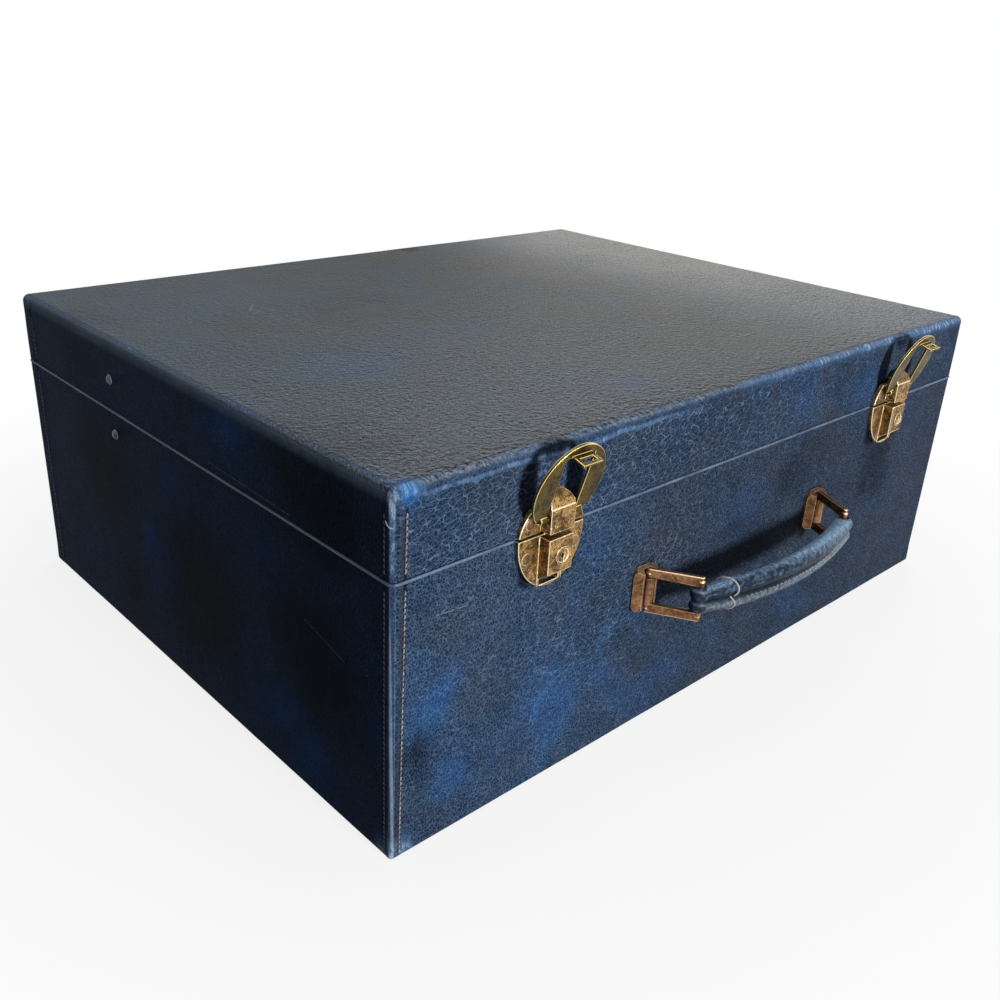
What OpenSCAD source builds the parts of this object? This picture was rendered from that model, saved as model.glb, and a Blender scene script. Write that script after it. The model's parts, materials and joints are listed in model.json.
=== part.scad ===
// Hard travel case covered in blue leathercloth, with ring-hasp locks and a looped carrying handle.
// Front is -Y, the lid opens towards +Y, the case stands on z = 0 with its centre on the Z axis.

/* [Case] */
// Outside width of the case
case_w = 470; // [420:5:520]
// Outside depth of the case, front to rear
case_d = 366; // [320:2:420]
// Height of the base, from its underside to the seam
base_h = 139.7; // [132:0.1:160]
// Height of the lid, from the seam to its top
lid_h = 40; // [36:1:60]
// Gap between the base rim and the lid rim
seam_gap = 0.3; // [0.2:0.1:0.6]
// Radius of the upright corners
corner_r = 3; // [2:0.5:6]
// Radius of the edges round the top of the lid
top_edge_r = 5; // [3:0.5:8]
// Radius of the edges round the underside
bottom_edge_r = 2; // [1.5:0.25:4]

/* [Shell] */
// Thickness of the leathercloth cover
cover_t = 0.9; // [0.6:0.1:1.2]
// Thickness of the board walls of the base
base_board_t = 4.3; // [3.8:0.1:6]
// Thickness of the board walls of the lid
lid_board_t = 3.9; // [3.4:0.1:5]
// Thickness of the floor panel
floor_t = 4.3; // [3:0.1:6]
// Thickness of the top panel
top_panel_t = 4.0; // [3:0.1:6]
// Thickness of the paper lining
lining_t = 0.6; // [0.4:0.1:1]
// Thickness of the locating lip inside the rim of the base
lip_t = 1.5; // [1:0.1:2]
// Height of the lip above the seam
lip_rise = 7; // [4:0.5:9]
// Depth of the lip below the seam
lip_drop = 8; // [5:0.5:10]
// Height of the rolled bead round the rim of the base
bead_h = 1.6; // [1:0.1:2.5]
// How far the bead stands out of the cover
bead_proud = 0.5; // [0.3:0.1:1]

/* [Rear hinges] */
// Distance from each end of the case to the middle of the nearer hinge
hinge_inset = 85; // [60:5:110]
// Length of each hinge
hinge_len = 60; // [50:1:80]
// Outside radius of the hinge knuckles
knuckle_r = 2.8; // [2.4:0.1:3.2]
// Radius of the hinge pins
hinge_pin_r = 1.4; // [1.1:0.1:1.6]
// Thickness of the hinge leaves
leaf_t = 1.2; // [1:0.1:1.6]
// Height of each leaf, from the hinge axis
leaf_h = 20; // [16:1:26]
// Spacing of the rivets along a leaf
leaf_rivet_pitch = 22; // [18:1:26]
// Gap between a hinge knuckle and the rear face of the case
knuckle_wall_gap = 0.4; // [0.3:0.1:0.6]

/* [Locks] */
// Distance from each end of the case to the centre of the nearer lock
lock_inset = 85.8; // [60:0.1:110]
// Half the width of the oval lock plates
plate_a = 20.2; // [19.5:0.1:23]
// Height of the lower plate's oval below its middle
plate_low_b = 25.2; // [25:0.1:28]
// Height of the upper plate's oval above its middle
plate_high_b = 18.3; // [17.5:0.1:21]
// How far the middle of the oval lies below the seam
plate_drop = 2.3; // [2:0.05:2.8]
// Thickness of the pressed lock plates
plate_t = 2.5; // [2:0.1:2.6]
// Height of the upper plate's shoulders above the seam
shoulder_rise = 11.5; // [10.5:0.1:12.5]
// Gap between the lower plate and the seam
plate_seam_gap = 0.95; // [0.3:0.05:1.2]
// Half the width of the raised lock case and hasp housing
box_half_w = 7.5; // [7.2:0.1:7.8]
// How far the lock case stands out of the plate
box_proud = 6.2; // [5.8:0.1:6.6]
// Sheet thickness of the lock case and hasp housing
box_wall = 0.9; // [0.7:0.1:1]
// Height of the lock case from its lower end to its upper end
box_h = 21.2; // [20.8:0.1:21.5]
// Slope of the lower end of the lock case, as a height
box_slope = 4.3; // [3:0.1:5]
// Gap between the seam and the lock case
box_seam_gap = 1.5; // [1.2:0.05:1.7]
// Radius of the rounded lower corner of the lock case's face
box_corner_r = 5.5; // [3:0.5:6]
// Radius of the lock plate rivets' heads
plate_rivet_head_r = 2.9; // [2.4:0.1:3]
// Distance of the lower plate rivets from the centre of the lock
lower_rivet_x = 15; // [14:0.1:15.4]
// Distance of the lower plate rivets from the seam
lower_rivet_drop = 10.3; // [9:0.1:11]
// Distance of the upper plate rivets from the centre of the lock
upper_rivet_x = 13.7; // [13:0.1:14.4]
// Distance of the upper plate rivets from the seam
upper_rivet_rise = 5.6; // [5:0.1:5.8]
// Depth of the keyhole below the seam
keyhole_drop = 10.6; // [10:0.1:11.5]
// Distance of the keyhole from the centre of the lock
keyhole_x = 1.2; // [0:0.1:1.6]

/* [Hasp rings] */
// Height of the ring's pivot above the seam
pivot_rise = 8.3; // [8:0.05:8.5]
// Distance of the ring's pivot in front of the plate
pivot_proud = 3.3; // [3.1:0.1:3.5]
// Radius of the pivot pin
pivot_pin_r = 1.0; // [0.9:0.05:1.1]
// Outside radius of the ring's knuckles
ring_knuckle_r = 1.9; // [1.8:0.05:2]
// Tilt of the opened ring, outwards from upright
ring_tilt = 17; // [5:0.5:40]
// Half the width of the ring
ring_a = 20.2; // [19:0.1:21]
// Half the height of the ring's oval
ring_b = 22; // [21:0.1:22.5]
// Distance from the pivot to the centre of the ring's oval
ring_reach = 15.3; // [15:0.1:16]
// Thickness of the ring
ring_t = 1.4; // [1.2:0.1:1.6]
// Half the width of the opening in the ring
ring_open_half_w = 8.8; // [8.6:0.1:9.4]
// Distance from the pivot to the locking tab
tab_r = 32.0; // [31.8:0.1:32.2]
// Half the width of the locking tab
tab_half_w = 5.8; // [5.4:0.1:6]
// Length of the locking tab, from the middle of the ring's thickness
tab_len = 7.8; // [7.6:0.1:8]
// Thickness of the locking tab
tab_t = 1.1; // [0.9:0.1:1.2]
// Half the width of the slot in the tab
slot_half_w = 3.8; // [3.4:0.1:4]
// Width of the slot in the tab
slot_t = 2.8; // [2.6:0.1:3]
// Distance from the middle of the ring to the middle of the slot
slot_reach = 4.5; // [4.4:0.05:4.6]
// Travel of the lock bolt
bolt_throw = 2.6; // [2.3:0.1:2.7]

/* [Handle] */
// Distance of the middle of the handle from the middle of the case, to the right
handle_x = 1.2; // [-3:0.1:3]
// Distance from the middle of the handle to each of its pivots
handle_pivot_x = 78.4; // [70:0.1:90]
// Height of the middle of the handle
handle_z = 85.3; // [70:0.1:95]
// Distance of the handle pivots in front of the case
handle_pivot_proud = 4.2; // [4:0.1:5]
// Length of each metal loop, from pivot to grip bar
loop_len = 25.6; // [24:0.1:30]
// Outside height of each metal loop
loop_h = 24.6; // [23:0.1:27]
// Height of each arm of a loop
loop_arm_h = 4.8; // [4:0.1:5.2]
// Thickness of each arm of a loop
loop_arm_t = 2.8; // [2.4:0.1:3.2]
// Radius of the two round bars of a loop
loop_bar_r = 1.7; // [1.5:0.1:1.9]
// Angle of the left loop out of the case's face
left_loop_angle = 59; // [50:1:70]
// Angle of the right loop out of the case's face
right_loop_angle = 64; // [50:1:70]
// How far the middle of the grip bows out
grip_bow = 11; // [8:0.5:14]
// Radius of the padded tube of the grip
grip_tube_r = 5.1; // [4.5:0.1:5.4]
// Radius of the stitched welt under the tube
grip_welt_r = 3.1; // [2.6:0.1:3.3]
// Outside radius of the leather sleeves at the grip's ends
grip_sleeve_r = 5.4; // [4.8:0.1:6]
// Slack of the right sleeve round its bar
grip_slack = 1.25; // [1.2:0.05:1.6]
// Height of each bracket
bracket_h = 24.6; // [23:0.1:27]
// Width of each bracket
bracket_w = 16.4; // [16:0.1:18]
// How far the two ridges of each bracket stand out of the case
bracket_proud = 5.2; // [4.6:0.1:5.6]
// Distance of each ridge from the pivot
bracket_ridge = 4.9; // [4.8:0.1:5.2]
// Spacing of the rivets behind each bracket, up and down
bracket_rivet_pitch = 14; // [12:0.5:16]

/* [Lid stays] */
// Distance from the centre of the case back to the stay rivets
stay_y = 64.5; // [50:0.5:75]
// Height of the lid's stay rivet above the seam
stay_lid_rise = 17.2; // [14:0.05:20]
// Depth of the base's stay rivet below the seam
stay_base_drop = 14.0; // [12:0.05:18]
// Length of each stay arm, between its pivots
stay_arm_len = 120; // [116:0.5:124]
// Width of the stay arms
stay_arm_w = 10; // [8:0.5:12]
// Thickness of the stay arms
stay_arm_t = 1.5; // [1.2:0.1:2]
// Radius of the stay rivets' shanks
stay_pin_r = 2; // [1.6:0.1:2.2]
// Slack of the upper arm's eye round the lid rivet
stay_eye_slack = 1.2; // [1.1:0.05:1.5]
// Radius of the domed rivet heads on the ends of the case
stay_head_r = 2.8; // [2.6:0.1:3.6]
// Gap between the two arms, and between each arm and its rivet head
stay_gap = 0.3; // [0.3:0.05:0.5]

/* [Hidden] */
$fn = 48;
eps = 0.01;
// Running clearance of every pin and bore, and the gap round a piece set in a hole
run_clear = 0.05;
fit_gap = 0.1;
// Clearance between pieces that pass each other
pass_gap = 0.3;
// How far a cutter runs past the faces it cuts
over = 1;

seam_z = base_h;
lid_z = base_h + seam_gap;
case_h = lid_z + lid_h;
seam_mid_z = base_h + seam_gap / 2;
front_y = -case_d / 2;
rear_y = case_d / 2;
end_x = case_w / 2;
hinge_x = end_x - hinge_inset;
lock_x = end_x - lock_inset;

// Inner faces of the boards and of the lining, as distances in from the outside of the case
base_board_in = cover_t + base_board_t;
lid_board_in = cover_t + lid_board_t;
base_lining_in = base_board_in + lining_t;
lid_lining_in = lid_board_in + lining_t;
floor_top_z = cover_t + floor_t;
panel_z = case_h - cover_t - top_panel_t;

// Rear hinges
hinge_y = rear_y + knuckle_r + knuckle_wall_gap;
knuckle_count = 5;
knuckle_len = (hinge_len - (knuckle_count - 1) * pass_gap) / knuckle_count;
knuckle_pitch = knuckle_len + pass_gap;
leaf_knuckle_gap = 0.5;
leaf_start = knuckle_r + leaf_knuckle_gap;
leaf_rivet_h = (leaf_start + leaf_h) / 2;
leaf_rivet_r = 1.3;
leaf_rivet_head_r = 2.4;
leaf_rivet_head_h = 0.8;

// Locks
plate_z = seam_z - plate_drop;
plate_y = front_y - plate_t;
pivot_z = seam_z + pivot_rise;
pivot_y = plate_y - pivot_proud;
lower_plate_top = seam_z - plate_seam_gap;
upper_plate_lift = 0.1;
upper_plate_bottom = lid_z + upper_plate_lift;
shoulder_z = lid_z + shoulder_rise;
box_y = plate_y - box_proud;
box_top = seam_z - box_seam_gap;
box_bottom = box_top - box_h;
tray_ledge_side = 0.7;
tray_ledge_top = 1.8;
tray_half_w = box_half_w - tray_ledge_side;
tray_top = box_top - tray_ledge_top;
tray_floor_t = 0.9;
housing_lift = 1;
housing_bottom = lid_z + housing_lift;
housing_h = 11.5;
housing_flat_top = housing_bottom + housing_h;
crest_set_back = 0.3;
crest_drop = 1;
dome_r = 8.2;
dome_y = box_y + crest_set_back + dome_r;
dome_z = housing_flat_top - crest_drop;
tongue_half_w = 5;
tongue_rise = 2.5;
tongue_top = housing_flat_top + tongue_rise;
cross_pin_r = 1.7;
cross_pin_out = 2.9;
cross_pin_drop = 3.7;
cross_pin_y = plate_y - cross_pin_out;
cross_pin_z = pivot_z - cross_pin_drop;
cross_pin_proud = 0.35;
plate_rivet_r = 1.6;
plate_rivet_head_h = 0.5;
lower_rivet_z = seam_z - lower_rivet_drop;
upper_rivet_z = lid_z + upper_rivet_rise;
keyhole_z = seam_z - keyhole_drop;
keyhole_r = 1.2;
keyhole_slot_w = 1.1;
keyhole_slot_h = 3.4;
escutcheon_r = 4.3;
escutcheon_rim_r = 3.4;
escutcheon_t = 0.5;
escutcheon_floor_t = 0.2;

// Hasp rings
ring_arm_setback = 0.3;
ring_arm_start = ring_arm_setback - ring_knuckle_r;
ring_knuckle_len = 4.2;
ring_knuckle_in = box_half_w + cross_pin_proud + pass_gap;
ring_knuckle_out = ring_knuckle_in + ring_knuckle_len;
window_half_w = tab_half_w + pass_gap;
window_bottom = pivot_z - sqrt(pow(tab_r + tab_t, 2) + pow(tab_len, 2)) - pass_gap;

// Bolts, behind the plates and in line with the slots of the closed rings' tabs
bolt_y = pivot_y + slot_reach;
bolt_slot_gap = 0.4;
bolt_t = slot_t - 2 * bolt_slot_gap;
bolt_side_gap = 0.2;
bolt_half_w = tray_half_w - box_wall - bolt_side_gap;
bolt_nose_half_w = slot_half_w - bolt_slot_gap;
bolt_nose_proud = 0.1;
bolt_nose_z = box_bottom - bolt_nose_proud;
bolt_block_gap = 0.4;
bolt_block_z = box_bottom + box_wall + bolt_throw + bolt_block_gap;
bolt_block_h = 9;
tray_back_y = bolt_y + bolt_t / 2 + pass_gap;
bolt_hole_half_w = bolt_nose_half_w + pass_gap;
lock_spring_t = 0.4;
lock_spring_half_w = 1.2;
lock_spring_inset = 2.4;
lock_spring_low = 1.5;
lock_spring_h = 6.5;
lock_spring_foot = 1.5;
hasp_spring_t = 0.35;
hasp_spring_half_w = 3.5;
hasp_spring_reach = 5;
hasp_spring_foot = 1.2;
hasp_spring_crest = 0.8;
hasp_spring_gap = 0.25;

// Handle
handle_pivot_y = front_y - handle_pivot_proud;
left_pivot = [handle_x - handle_pivot_x, handle_pivot_y];
right_pivot = [handle_x + handle_pivot_x, handle_pivot_y];
left_grip_end = left_pivot + loop_len * [cos(left_loop_angle), -sin(left_loop_angle)];
right_grip_end = right_pivot + loop_len * [-cos(right_loop_angle), -sin(right_loop_angle)];
grip_chord = right_grip_end - left_grip_end;
grip_span = norm(grip_chord);
grip_turn = atan2(grip_chord[1], grip_chord[0]);
grip_radius = (pow(grip_span / 2, 2) + pow(grip_bow, 2)) / (2 * grip_bow);
grip_half_angle = asin(grip_span / 2 / grip_radius);
loop_gap_h = loop_h - 2 * loop_arm_h;
sleeve_h = loop_gap_h - 2 * pass_gap;
grip_welt_z = handle_z - sleeve_h / 2 + grip_welt_r;
grip_groove = 0.4;
grip_tube_z = grip_welt_z + grip_welt_r + grip_tube_r - grip_groove;
thread_r = 0.5;
thread_inset = 16.5;
thread_angle = grip_half_angle - thread_inset / grip_radius * 180 / PI;
thread_tube_from = -60;
thread_tube_turn = 210;
thread_welt_from = -170;
thread_welt_turn = 190;
bracket_knuckle_r = 2.8;
bracket_edge_t = 1.2;
bracket_valley_t = 2.1;
bracket_valley_half_w = 2.8;
bracket_end_bevel = 2.2;
bracket_corner_r = 4;
bracket_knuckle_h = loop_gap_h - 2 * pass_gap;
bracket_rivet_r = 1.9;
bracket_rivet_seat = 1.6;
backing_t = 1.2;
backing_w = 18;
backing_margin = 1;
backing_h = bracket_h + 2 * backing_margin;
backing_y = front_y + base_lining_in;
backing_head_r = 3.0;
backing_head_h = 1.1;

// Lid stays, in planes inside the lip; positions are distances from the centre of the case
stay_lip_gap = 0.5;
stay_lower_x = end_x - base_lining_in - lip_t - stay_lip_gap;
stay_upper_x = stay_lower_x - stay_arm_t - stay_gap;
stay_base_z = seam_z - stay_base_drop;
stay_lid_z = lid_z + stay_lid_rise;
stay_half_rise = (stay_lid_z - stay_base_z) / 2;
stay_knee_y = stay_y - sqrt(pow(stay_arm_len, 2) - pow(stay_half_rise, 2));
stay_knee_z = stay_base_z + stay_half_rise;
stay_eye_rim = 1;
stay_eye_r = stay_arm_w / 2 + stay_eye_rim;
stay_head_h = 1.6;
stay_inner_head_r = 4.2;
stay_inner_head_h = 0.9;
stay_spacer_r = 4;

// Colours
navy = [0.09, 0.16, 0.27];
navy_pale = [0.25, 0.36, 0.5];
brass = [0.62, 0.47, 0.22];
brass_dark = [0.42, 0.31, 0.16];
copper = [0.58, 0.38, 0.24];
steel = [0.55, 0.56, 0.58];
steel_dark = [0.25, 0.26, 0.28];
board = [0.55, 0.42, 0.28];
paper = [0.72, 0.68, 0.6];
thread = [0.78, 0.74, 0.64];

// Profile in X and Z, run along Y from y0 to y1
module along_y(y0, y1) {
    translate([0, y1, 0]) rotate([90, 0, 0]) linear_extrude(y1 - y0) children();
}

// Profile in Y and Z, run along X from x0 to x1
module along_x(x0, x1) {
    translate([x0, 0, 0]) rotate([90, 0, 90]) linear_extrude(x1 - x0) children();
}

// Profile in X and Y, run along Z from z0 to z1
module along_z(z0, z1) {
    translate([0, 0, z0]) linear_extrude(z1 - z0) children();
}

// Rectangle centred on the first axis, with its lower and upper corners rounded
module round_section(w, low, high, r_low, r_high) {
    translate([-w / 2, low + r_low]) square([w, high - low - r_low - r_high]);
    if (r_low > 0) {
        translate([-w / 2 + r_low, low]) square([w - 2 * r_low, r_low + eps]);
        for (side = [-1, 1]) translate([side * (w / 2 - r_low), low + r_low]) circle(r_low);
    }
    if (r_high > 0) {
        translate([-w / 2 + r_high, high - r_high - eps]) square([w - 2 * r_high, r_high + eps]);
        for (side = [-1, 1]) translate([side * (w / 2 - r_high), high - r_high]) circle(r_high);
    }
}

// Upright block centred on the Z axis, with rounded upright, lower and upper edges
module soft_block(w, d, z0, z1, r, r_low, r_high) {
    intersection() {
        along_z(z0, z1) round_section(w, -d / 2, d / 2, r, r);
        if (r_low + r_high > 0) along_y(-d, d) round_section(w, z0, z1, r_low, r_high);
        if (r_low + r_high > 0) along_x(-w, w) round_section(d, z0, z1, r_low, r_high);
    }
}

// Upright ring of wall, between a size set in from the case and another set in further
module wall_ring(outer_in, inner_in, z0, z1) {
    difference() {
        inset_prism(outer_in, z0, z1);
        inset_prism(inner_in, z0 - 1, z1 + 1);
    }
}

// Prism of the case's plan, set in all round
module inset_prism(inset, z0, z1) {
    r = max(corner_r - inset, 0);
    along_z(z0, z1) round_section(case_w - 2 * inset, -case_d / 2 + inset, case_d / 2 - inset, r, r);
}

// The base's outside and the lid's outside, each set in all round
module base_form(inset, top) {
    r = max(corner_r - inset, 0);
    r_low = max(bottom_edge_r - inset, 0);
    soft_block(case_w - 2 * inset, case_d - 2 * inset, inset, top, r, r_low, 0);
}

module lid_form(inset) {
    r = max(corner_r - inset, 0);
    r_high = max(top_edge_r - inset, 0);
    soft_block(case_w - 2 * inset, case_d - 2 * inset, lid_z, case_h - inset, r, 0, r_high);
}

// Rod along Y or X, from one place to another
module rod_y(x, z, y0, y1, r) {
    translate([x, y0, z]) rotate([-90, 0, 0]) cylinder(r = r, h = y1 - y0);
}

module rod_x(y, z, x0, x1, r) {
    translate([x0, y, z]) rotate([0, 90, 0]) cylinder(r = r, h = x1 - x0);
}

// Low dome that stands on its flat side, pointing up
module dome(r, h) {
    ball_r = (r * r + h * h) / (2 * h);
    intersection() {
        translate([0, 0, h - ball_r]) sphere(ball_r);
        cylinder(r = r, h = h);
    }
}

// Both hands of a piece that is drawn on the right
module both_sides() {
    children();
    mirror([1, 0, 0]) children();
}

// Places of the fasteners, each drawn as the child at its place along Y
module at_lower_lock_rivets() {
    for (lock = [-1, 1], side = [-1, 1])
        translate([lock * lock_x + side * lower_rivet_x, 0, lower_rivet_z]) children();
}

module at_upper_lock_rivets() {
    for (lock = [-1, 1], side = [-1, 1])
        translate([lock * lock_x + side * upper_rivet_x, 0, upper_rivet_z]) children();
}

module at_leaf_rivets(z) {
    for (hinge = [-1, 1], i = [-1 : 1])
        translate([hinge * hinge_x + i * leaf_rivet_pitch, 0, z]) children();
}

module at_bracket_rivets() {
    for (side = [-1, 1], ridge = [-1, 1], row = [-1, 1])
        translate([handle_x + side * handle_pivot_x + ridge * bracket_ridge, 0,
                   handle_z + row * bracket_rivet_pitch / 2])
            children();
}

// Holes through the base's cover and walls
module base_wall_holes() {
    at_lower_lock_rivets() rod_y(0, 0, front_y - 1, front_y + base_board_in + 1, plate_rivet_r + run_clear);
    at_bracket_rivets() rod_y(0, 0, front_y - 1, backing_y + 1, bracket_rivet_r + run_clear);
    at_leaf_rivets(seam_mid_z - leaf_rivet_h)
        rod_y(0, 0, rear_y - base_board_in - 1, rear_y + 1, leaf_rivet_r + run_clear);
    both_sides() rod_x(stay_y, stay_base_z, stay_lower_x, end_x + 1, stay_pin_r + run_clear);
    for (side = [-1, 1]) translate([side * lock_x, 0, 0])
        along_y(front_y - 1, front_y + base_board_in) lock_window(fit_gap);
}

// Holes through the lid's cover and walls
module lid_wall_holes() {
    at_upper_lock_rivets() rod_y(0, 0, front_y - 1, front_y + lid_board_in + 1, plate_rivet_r + run_clear);
    at_leaf_rivets(seam_mid_z + leaf_rivet_h)
        rod_y(0, 0, rear_y - lid_board_in - 1, rear_y + 1, leaf_rivet_r + run_clear);
    both_sides() rod_x(stay_y, stay_lid_z, stay_upper_x, end_x + 1, stay_pin_r + run_clear);
}

// Outline of the opening behind a lock: the lock case's tray, and the pocket for the tab below it
module lock_window(gap) {
    translate([-tray_half_w - gap, box_bottom - gap])
        square([2 * (tray_half_w + gap), tray_top - box_bottom + 2 * gap]);
    translate([-window_half_w, window_bottom])
        square([2 * window_half_w, box_bottom - window_bottom]);
}

module base_walls() {
    color(board) difference() {
        base_form(cover_t, base_h);
        inset_prism(base_board_in, 0, base_h + 1);
        base_wall_holes();
    }
}

module base_floor() {
    color(board) inset_prism(base_board_in, cover_t, floor_top_z);
}

module base_side_cover() {
    color(navy) difference() {
        intersection() {
            base_form(0, base_h - bead_h);
            along_z(cover_t, base_h) square([2 * case_w, 2 * case_d], center = true);
        }
        base_form(cover_t, base_h);
        base_wall_holes();
    }
}

module base_bottom_cover() {
    color(navy) intersection() {
        base_form(0, base_h);
        along_z(0, cover_t) square([2 * case_w, 2 * case_d], center = true);
    }
}

// Rolled bead round the rim, cut away behind the hinges and the lock plates
module base_rim_bead() {
    color(navy_pale) difference() {
        wall_ring(-bead_proud, cover_t, base_h - bead_h, base_h);
        both_sides() along_z(base_h - bead_h - over, base_h + over) {
            translate([hinge_x - hinge_len / 2 - fit_gap, rear_y])
                square([hinge_len + 2 * fit_gap, bead_proud + over]);
            translate([lock_x - plate_a - fit_gap, front_y - bead_proud - over])
                square([2 * (plate_a + fit_gap), bead_proud + over]);
        }
    }
}

module base_lip() {
    color(board) wall_ring(base_lining_in, base_lining_in + lip_t, base_h - lip_drop, base_h + lip_rise);
}

module base_lining() {
    color(paper) difference() {
        inset_prism(base_board_in, floor_top_z, base_h);
        inset_prism(base_lining_in, floor_top_z + lining_t, base_h + 1);
        at_bracket_rivets() rod_y(0, 0, front_y, backing_y + 1, bracket_rivet_r + run_clear);
        both_sides() rod_x(stay_y, stay_base_z, stay_lower_x, end_x, stay_pin_r + run_clear);
    }
}

module lid_walls() {
    color(board) difference() {
        lid_form(cover_t);
        inset_prism(lid_board_in, lid_z - 1, case_h);
        lid_wall_holes();
    }
}

module lid_top_panel() {
    color(board) inset_prism(lid_board_in, panel_z, case_h - cover_t);
}

module lid_cover() {
    color(navy) difference() {
        lid_form(0);
        lid_form(cover_t);
        lid_wall_holes();
    }
}

module lid_lining() {
    color(paper) difference() {
        inset_prism(lid_board_in, lid_z, panel_z);
        inset_prism(lid_lining_in, lid_z - 1, panel_z - lining_t);
        both_sides() rod_x(stay_y, stay_lid_z, stay_upper_x, end_x, stay_pin_r + run_clear);
    }
}

// One hinge leaf: up is 1 for the lid's leaf and -1 for the base's, which takes the outer knuckles
module hinge_leaf(up) {
    first = up > 0 ? 1 : 0;
    difference() {
        union() {
            translate([-hinge_len / 2, rear_y, up > 0 ? leaf_start : -leaf_h])
                cube([hinge_len, leaf_t, leaf_h - leaf_start]);
            for (i = [first : 2 : knuckle_count - 1])
                translate([-hinge_len / 2 + i * knuckle_pitch, 0, 0]) {
                    rod_x(hinge_y, 0, 0, knuckle_len, knuckle_r);
                    translate([0, rear_y, up > 0 ? 0 : -leaf_start - eps])
                        cube([knuckle_len, leaf_t, leaf_start + eps]);
                }
        }
        rod_x(hinge_y, 0, -hinge_len, hinge_len, hinge_pin_r + run_clear);
        for (i = [-1 : 1])
            rod_y(i * leaf_rivet_pitch, up * leaf_rivet_h, rear_y - 1, rear_y + 2 * leaf_t,
                  leaf_rivet_r + run_clear);
    }
}

module hinge_lower_leaves() {
    color(brass_dark) for (side = [-1, 1]) translate([side * hinge_x, 0, seam_mid_z]) hinge_leaf(-1);
}

module hinge_upper_leaves() {
    color(brass_dark) for (side = [-1, 1]) translate([side * hinge_x, 0, seam_mid_z]) hinge_leaf(1);
}

module hinge_pins() {
    color(steel) for (side = [-1, 1]) translate([side * hinge_x, 0, seam_mid_z])
        rod_x(hinge_y, 0, -hinge_len / 2, hinge_len / 2, hinge_pin_r);
}

// Rivet through the rear wall, its domed head on the leaf
module leaf_rivet(wall) {
    rod_y(0, 0, rear_y - wall, rear_y + leaf_t, leaf_rivet_r);
    translate([0, rear_y + leaf_t, 0]) rotate([-90, 0, 0]) dome(leaf_rivet_head_r, leaf_rivet_head_h);
}

module hinge_lower_rivets() {
    color(brass) at_leaf_rivets(seam_mid_z - leaf_rivet_h) leaf_rivet(base_board_in);
}

module hinge_upper_rivets() {
    color(brass) at_leaf_rivets(seam_mid_z + leaf_rivet_h) leaf_rivet(lid_board_in);
}

// Oval that both lock plates are cut from, in X and Z, lower below its middle than above it
module plate_oval() {
    translate([0, plate_z])
        polygon([for (a = [0 : 5 : 355])
                 [plate_a * cos(a), (a > 180 ? plate_low_b : plate_high_b) * sin(a)]]);
}

// Pressed plate on the base, with the opening for the lock case and the tab
module lock_plate() {
    color(brass) difference() {
        along_y(plate_y, front_y) intersection() {
            plate_oval();
            translate([-plate_a, 0]) square([2 * plate_a, lower_plate_top]);
        }
        along_y(plate_y - 1, front_y + 1) lock_window(fit_gap);
        for (side = [-1, 1])
            rod_y(side * lower_rivet_x, lower_rivet_z, plate_y - 1, front_y + 1, plate_rivet_r + run_clear);
    }
}

// Face of the lock case, with one lower corner rounded
module box_face() {
    difference() {
        translate([-box_half_w, box_bottom]) square([2 * box_half_w, box_h]);
        translate([box_half_w - box_corner_r, box_bottom])
            difference() {
                square(box_corner_r + eps);
                translate([0, box_corner_r]) circle(box_corner_r);
            }
    }
}

// Hollow pressed lock case: a box on the plate, sloped at its lower end, and a tray through the plate
module lock_case() {
    slope_y = plate_y - box_proud;
    color(brass) difference() {
        union() {
            difference() {
                along_y(box_y, plate_y) box_face();
                along_x(-2 * box_half_w, 2 * box_half_w)
                    polygon([[slope_y - 1, box_bottom - 1], [slope_y - 1, box_bottom + box_slope],
                             [slope_y, box_bottom + box_slope], [plate_y, box_bottom],
                             [plate_y, box_bottom - 1]]);
            }
            translate([-tray_half_w, plate_y - eps, box_bottom])
                cube([2 * tray_half_w, tray_back_y + tray_floor_t - plate_y, tray_top - box_bottom]);
        }
        // inside of the box, above the slope
        translate([-box_half_w + box_wall, box_y + box_wall, box_bottom + box_slope + box_wall])
            cube([2 * (box_half_w - box_wall), box_proud - box_wall,
                  box_h - box_slope - 2 * box_wall - box_corner_r / 4]);
        // inside of the tray, with the opening that the bolt's nose leaves by
        translate([-tray_half_w + box_wall, plate_y - eps * 2, box_bottom + box_wall])
            cube([2 * (tray_half_w - box_wall), tray_back_y - plate_y + eps * 2,
                  tray_top - box_bottom - 2 * box_wall]);
        translate([-bolt_hole_half_w, bolt_y - bolt_t / 2 - pass_gap, box_bottom - 1])
            cube([2 * bolt_hole_half_w, bolt_t + 2 * pass_gap, box_wall + 2]);
        keyhole();
    }
}

// Keyhole through the face of the lock case
module keyhole() {
    rod_y(keyhole_x, keyhole_z, box_y - 2, box_y + box_wall + 1, keyhole_r);
    translate([keyhole_x - keyhole_slot_w / 2, box_y - 2, keyhole_z - keyhole_slot_h])
        cube([keyhole_slot_w, box_wall + 3, keyhole_slot_h]);
}

// Round dished trim with a raised rim, round the keyhole
module escutcheon() {
    color(brass_dark) difference() {
        rod_y(keyhole_x, keyhole_z, box_y - escutcheon_t, box_y, escutcheon_r);
        rod_y(keyhole_x, keyhole_z, box_y - 2 * escutcheon_t, box_y - escutcheon_floor_t, escutcheon_rim_r);
        keyhole();
    }
}

// Sliding bolt, drawn back: a block in the tray, with the nose that drops through the ring's tab
module lock_bolt() {
    color(steel) translate([0, bolt_y - bolt_t / 2, 0]) {
        translate([-bolt_half_w, 0, bolt_block_z]) cube([2 * bolt_half_w, bolt_t, bolt_block_h]);
        translate([-bolt_nose_half_w, 0, bolt_nose_z])
            cube([2 * bolt_nose_half_w, bolt_t, bolt_block_z - bolt_nose_z + eps]);
    }
}

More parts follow.
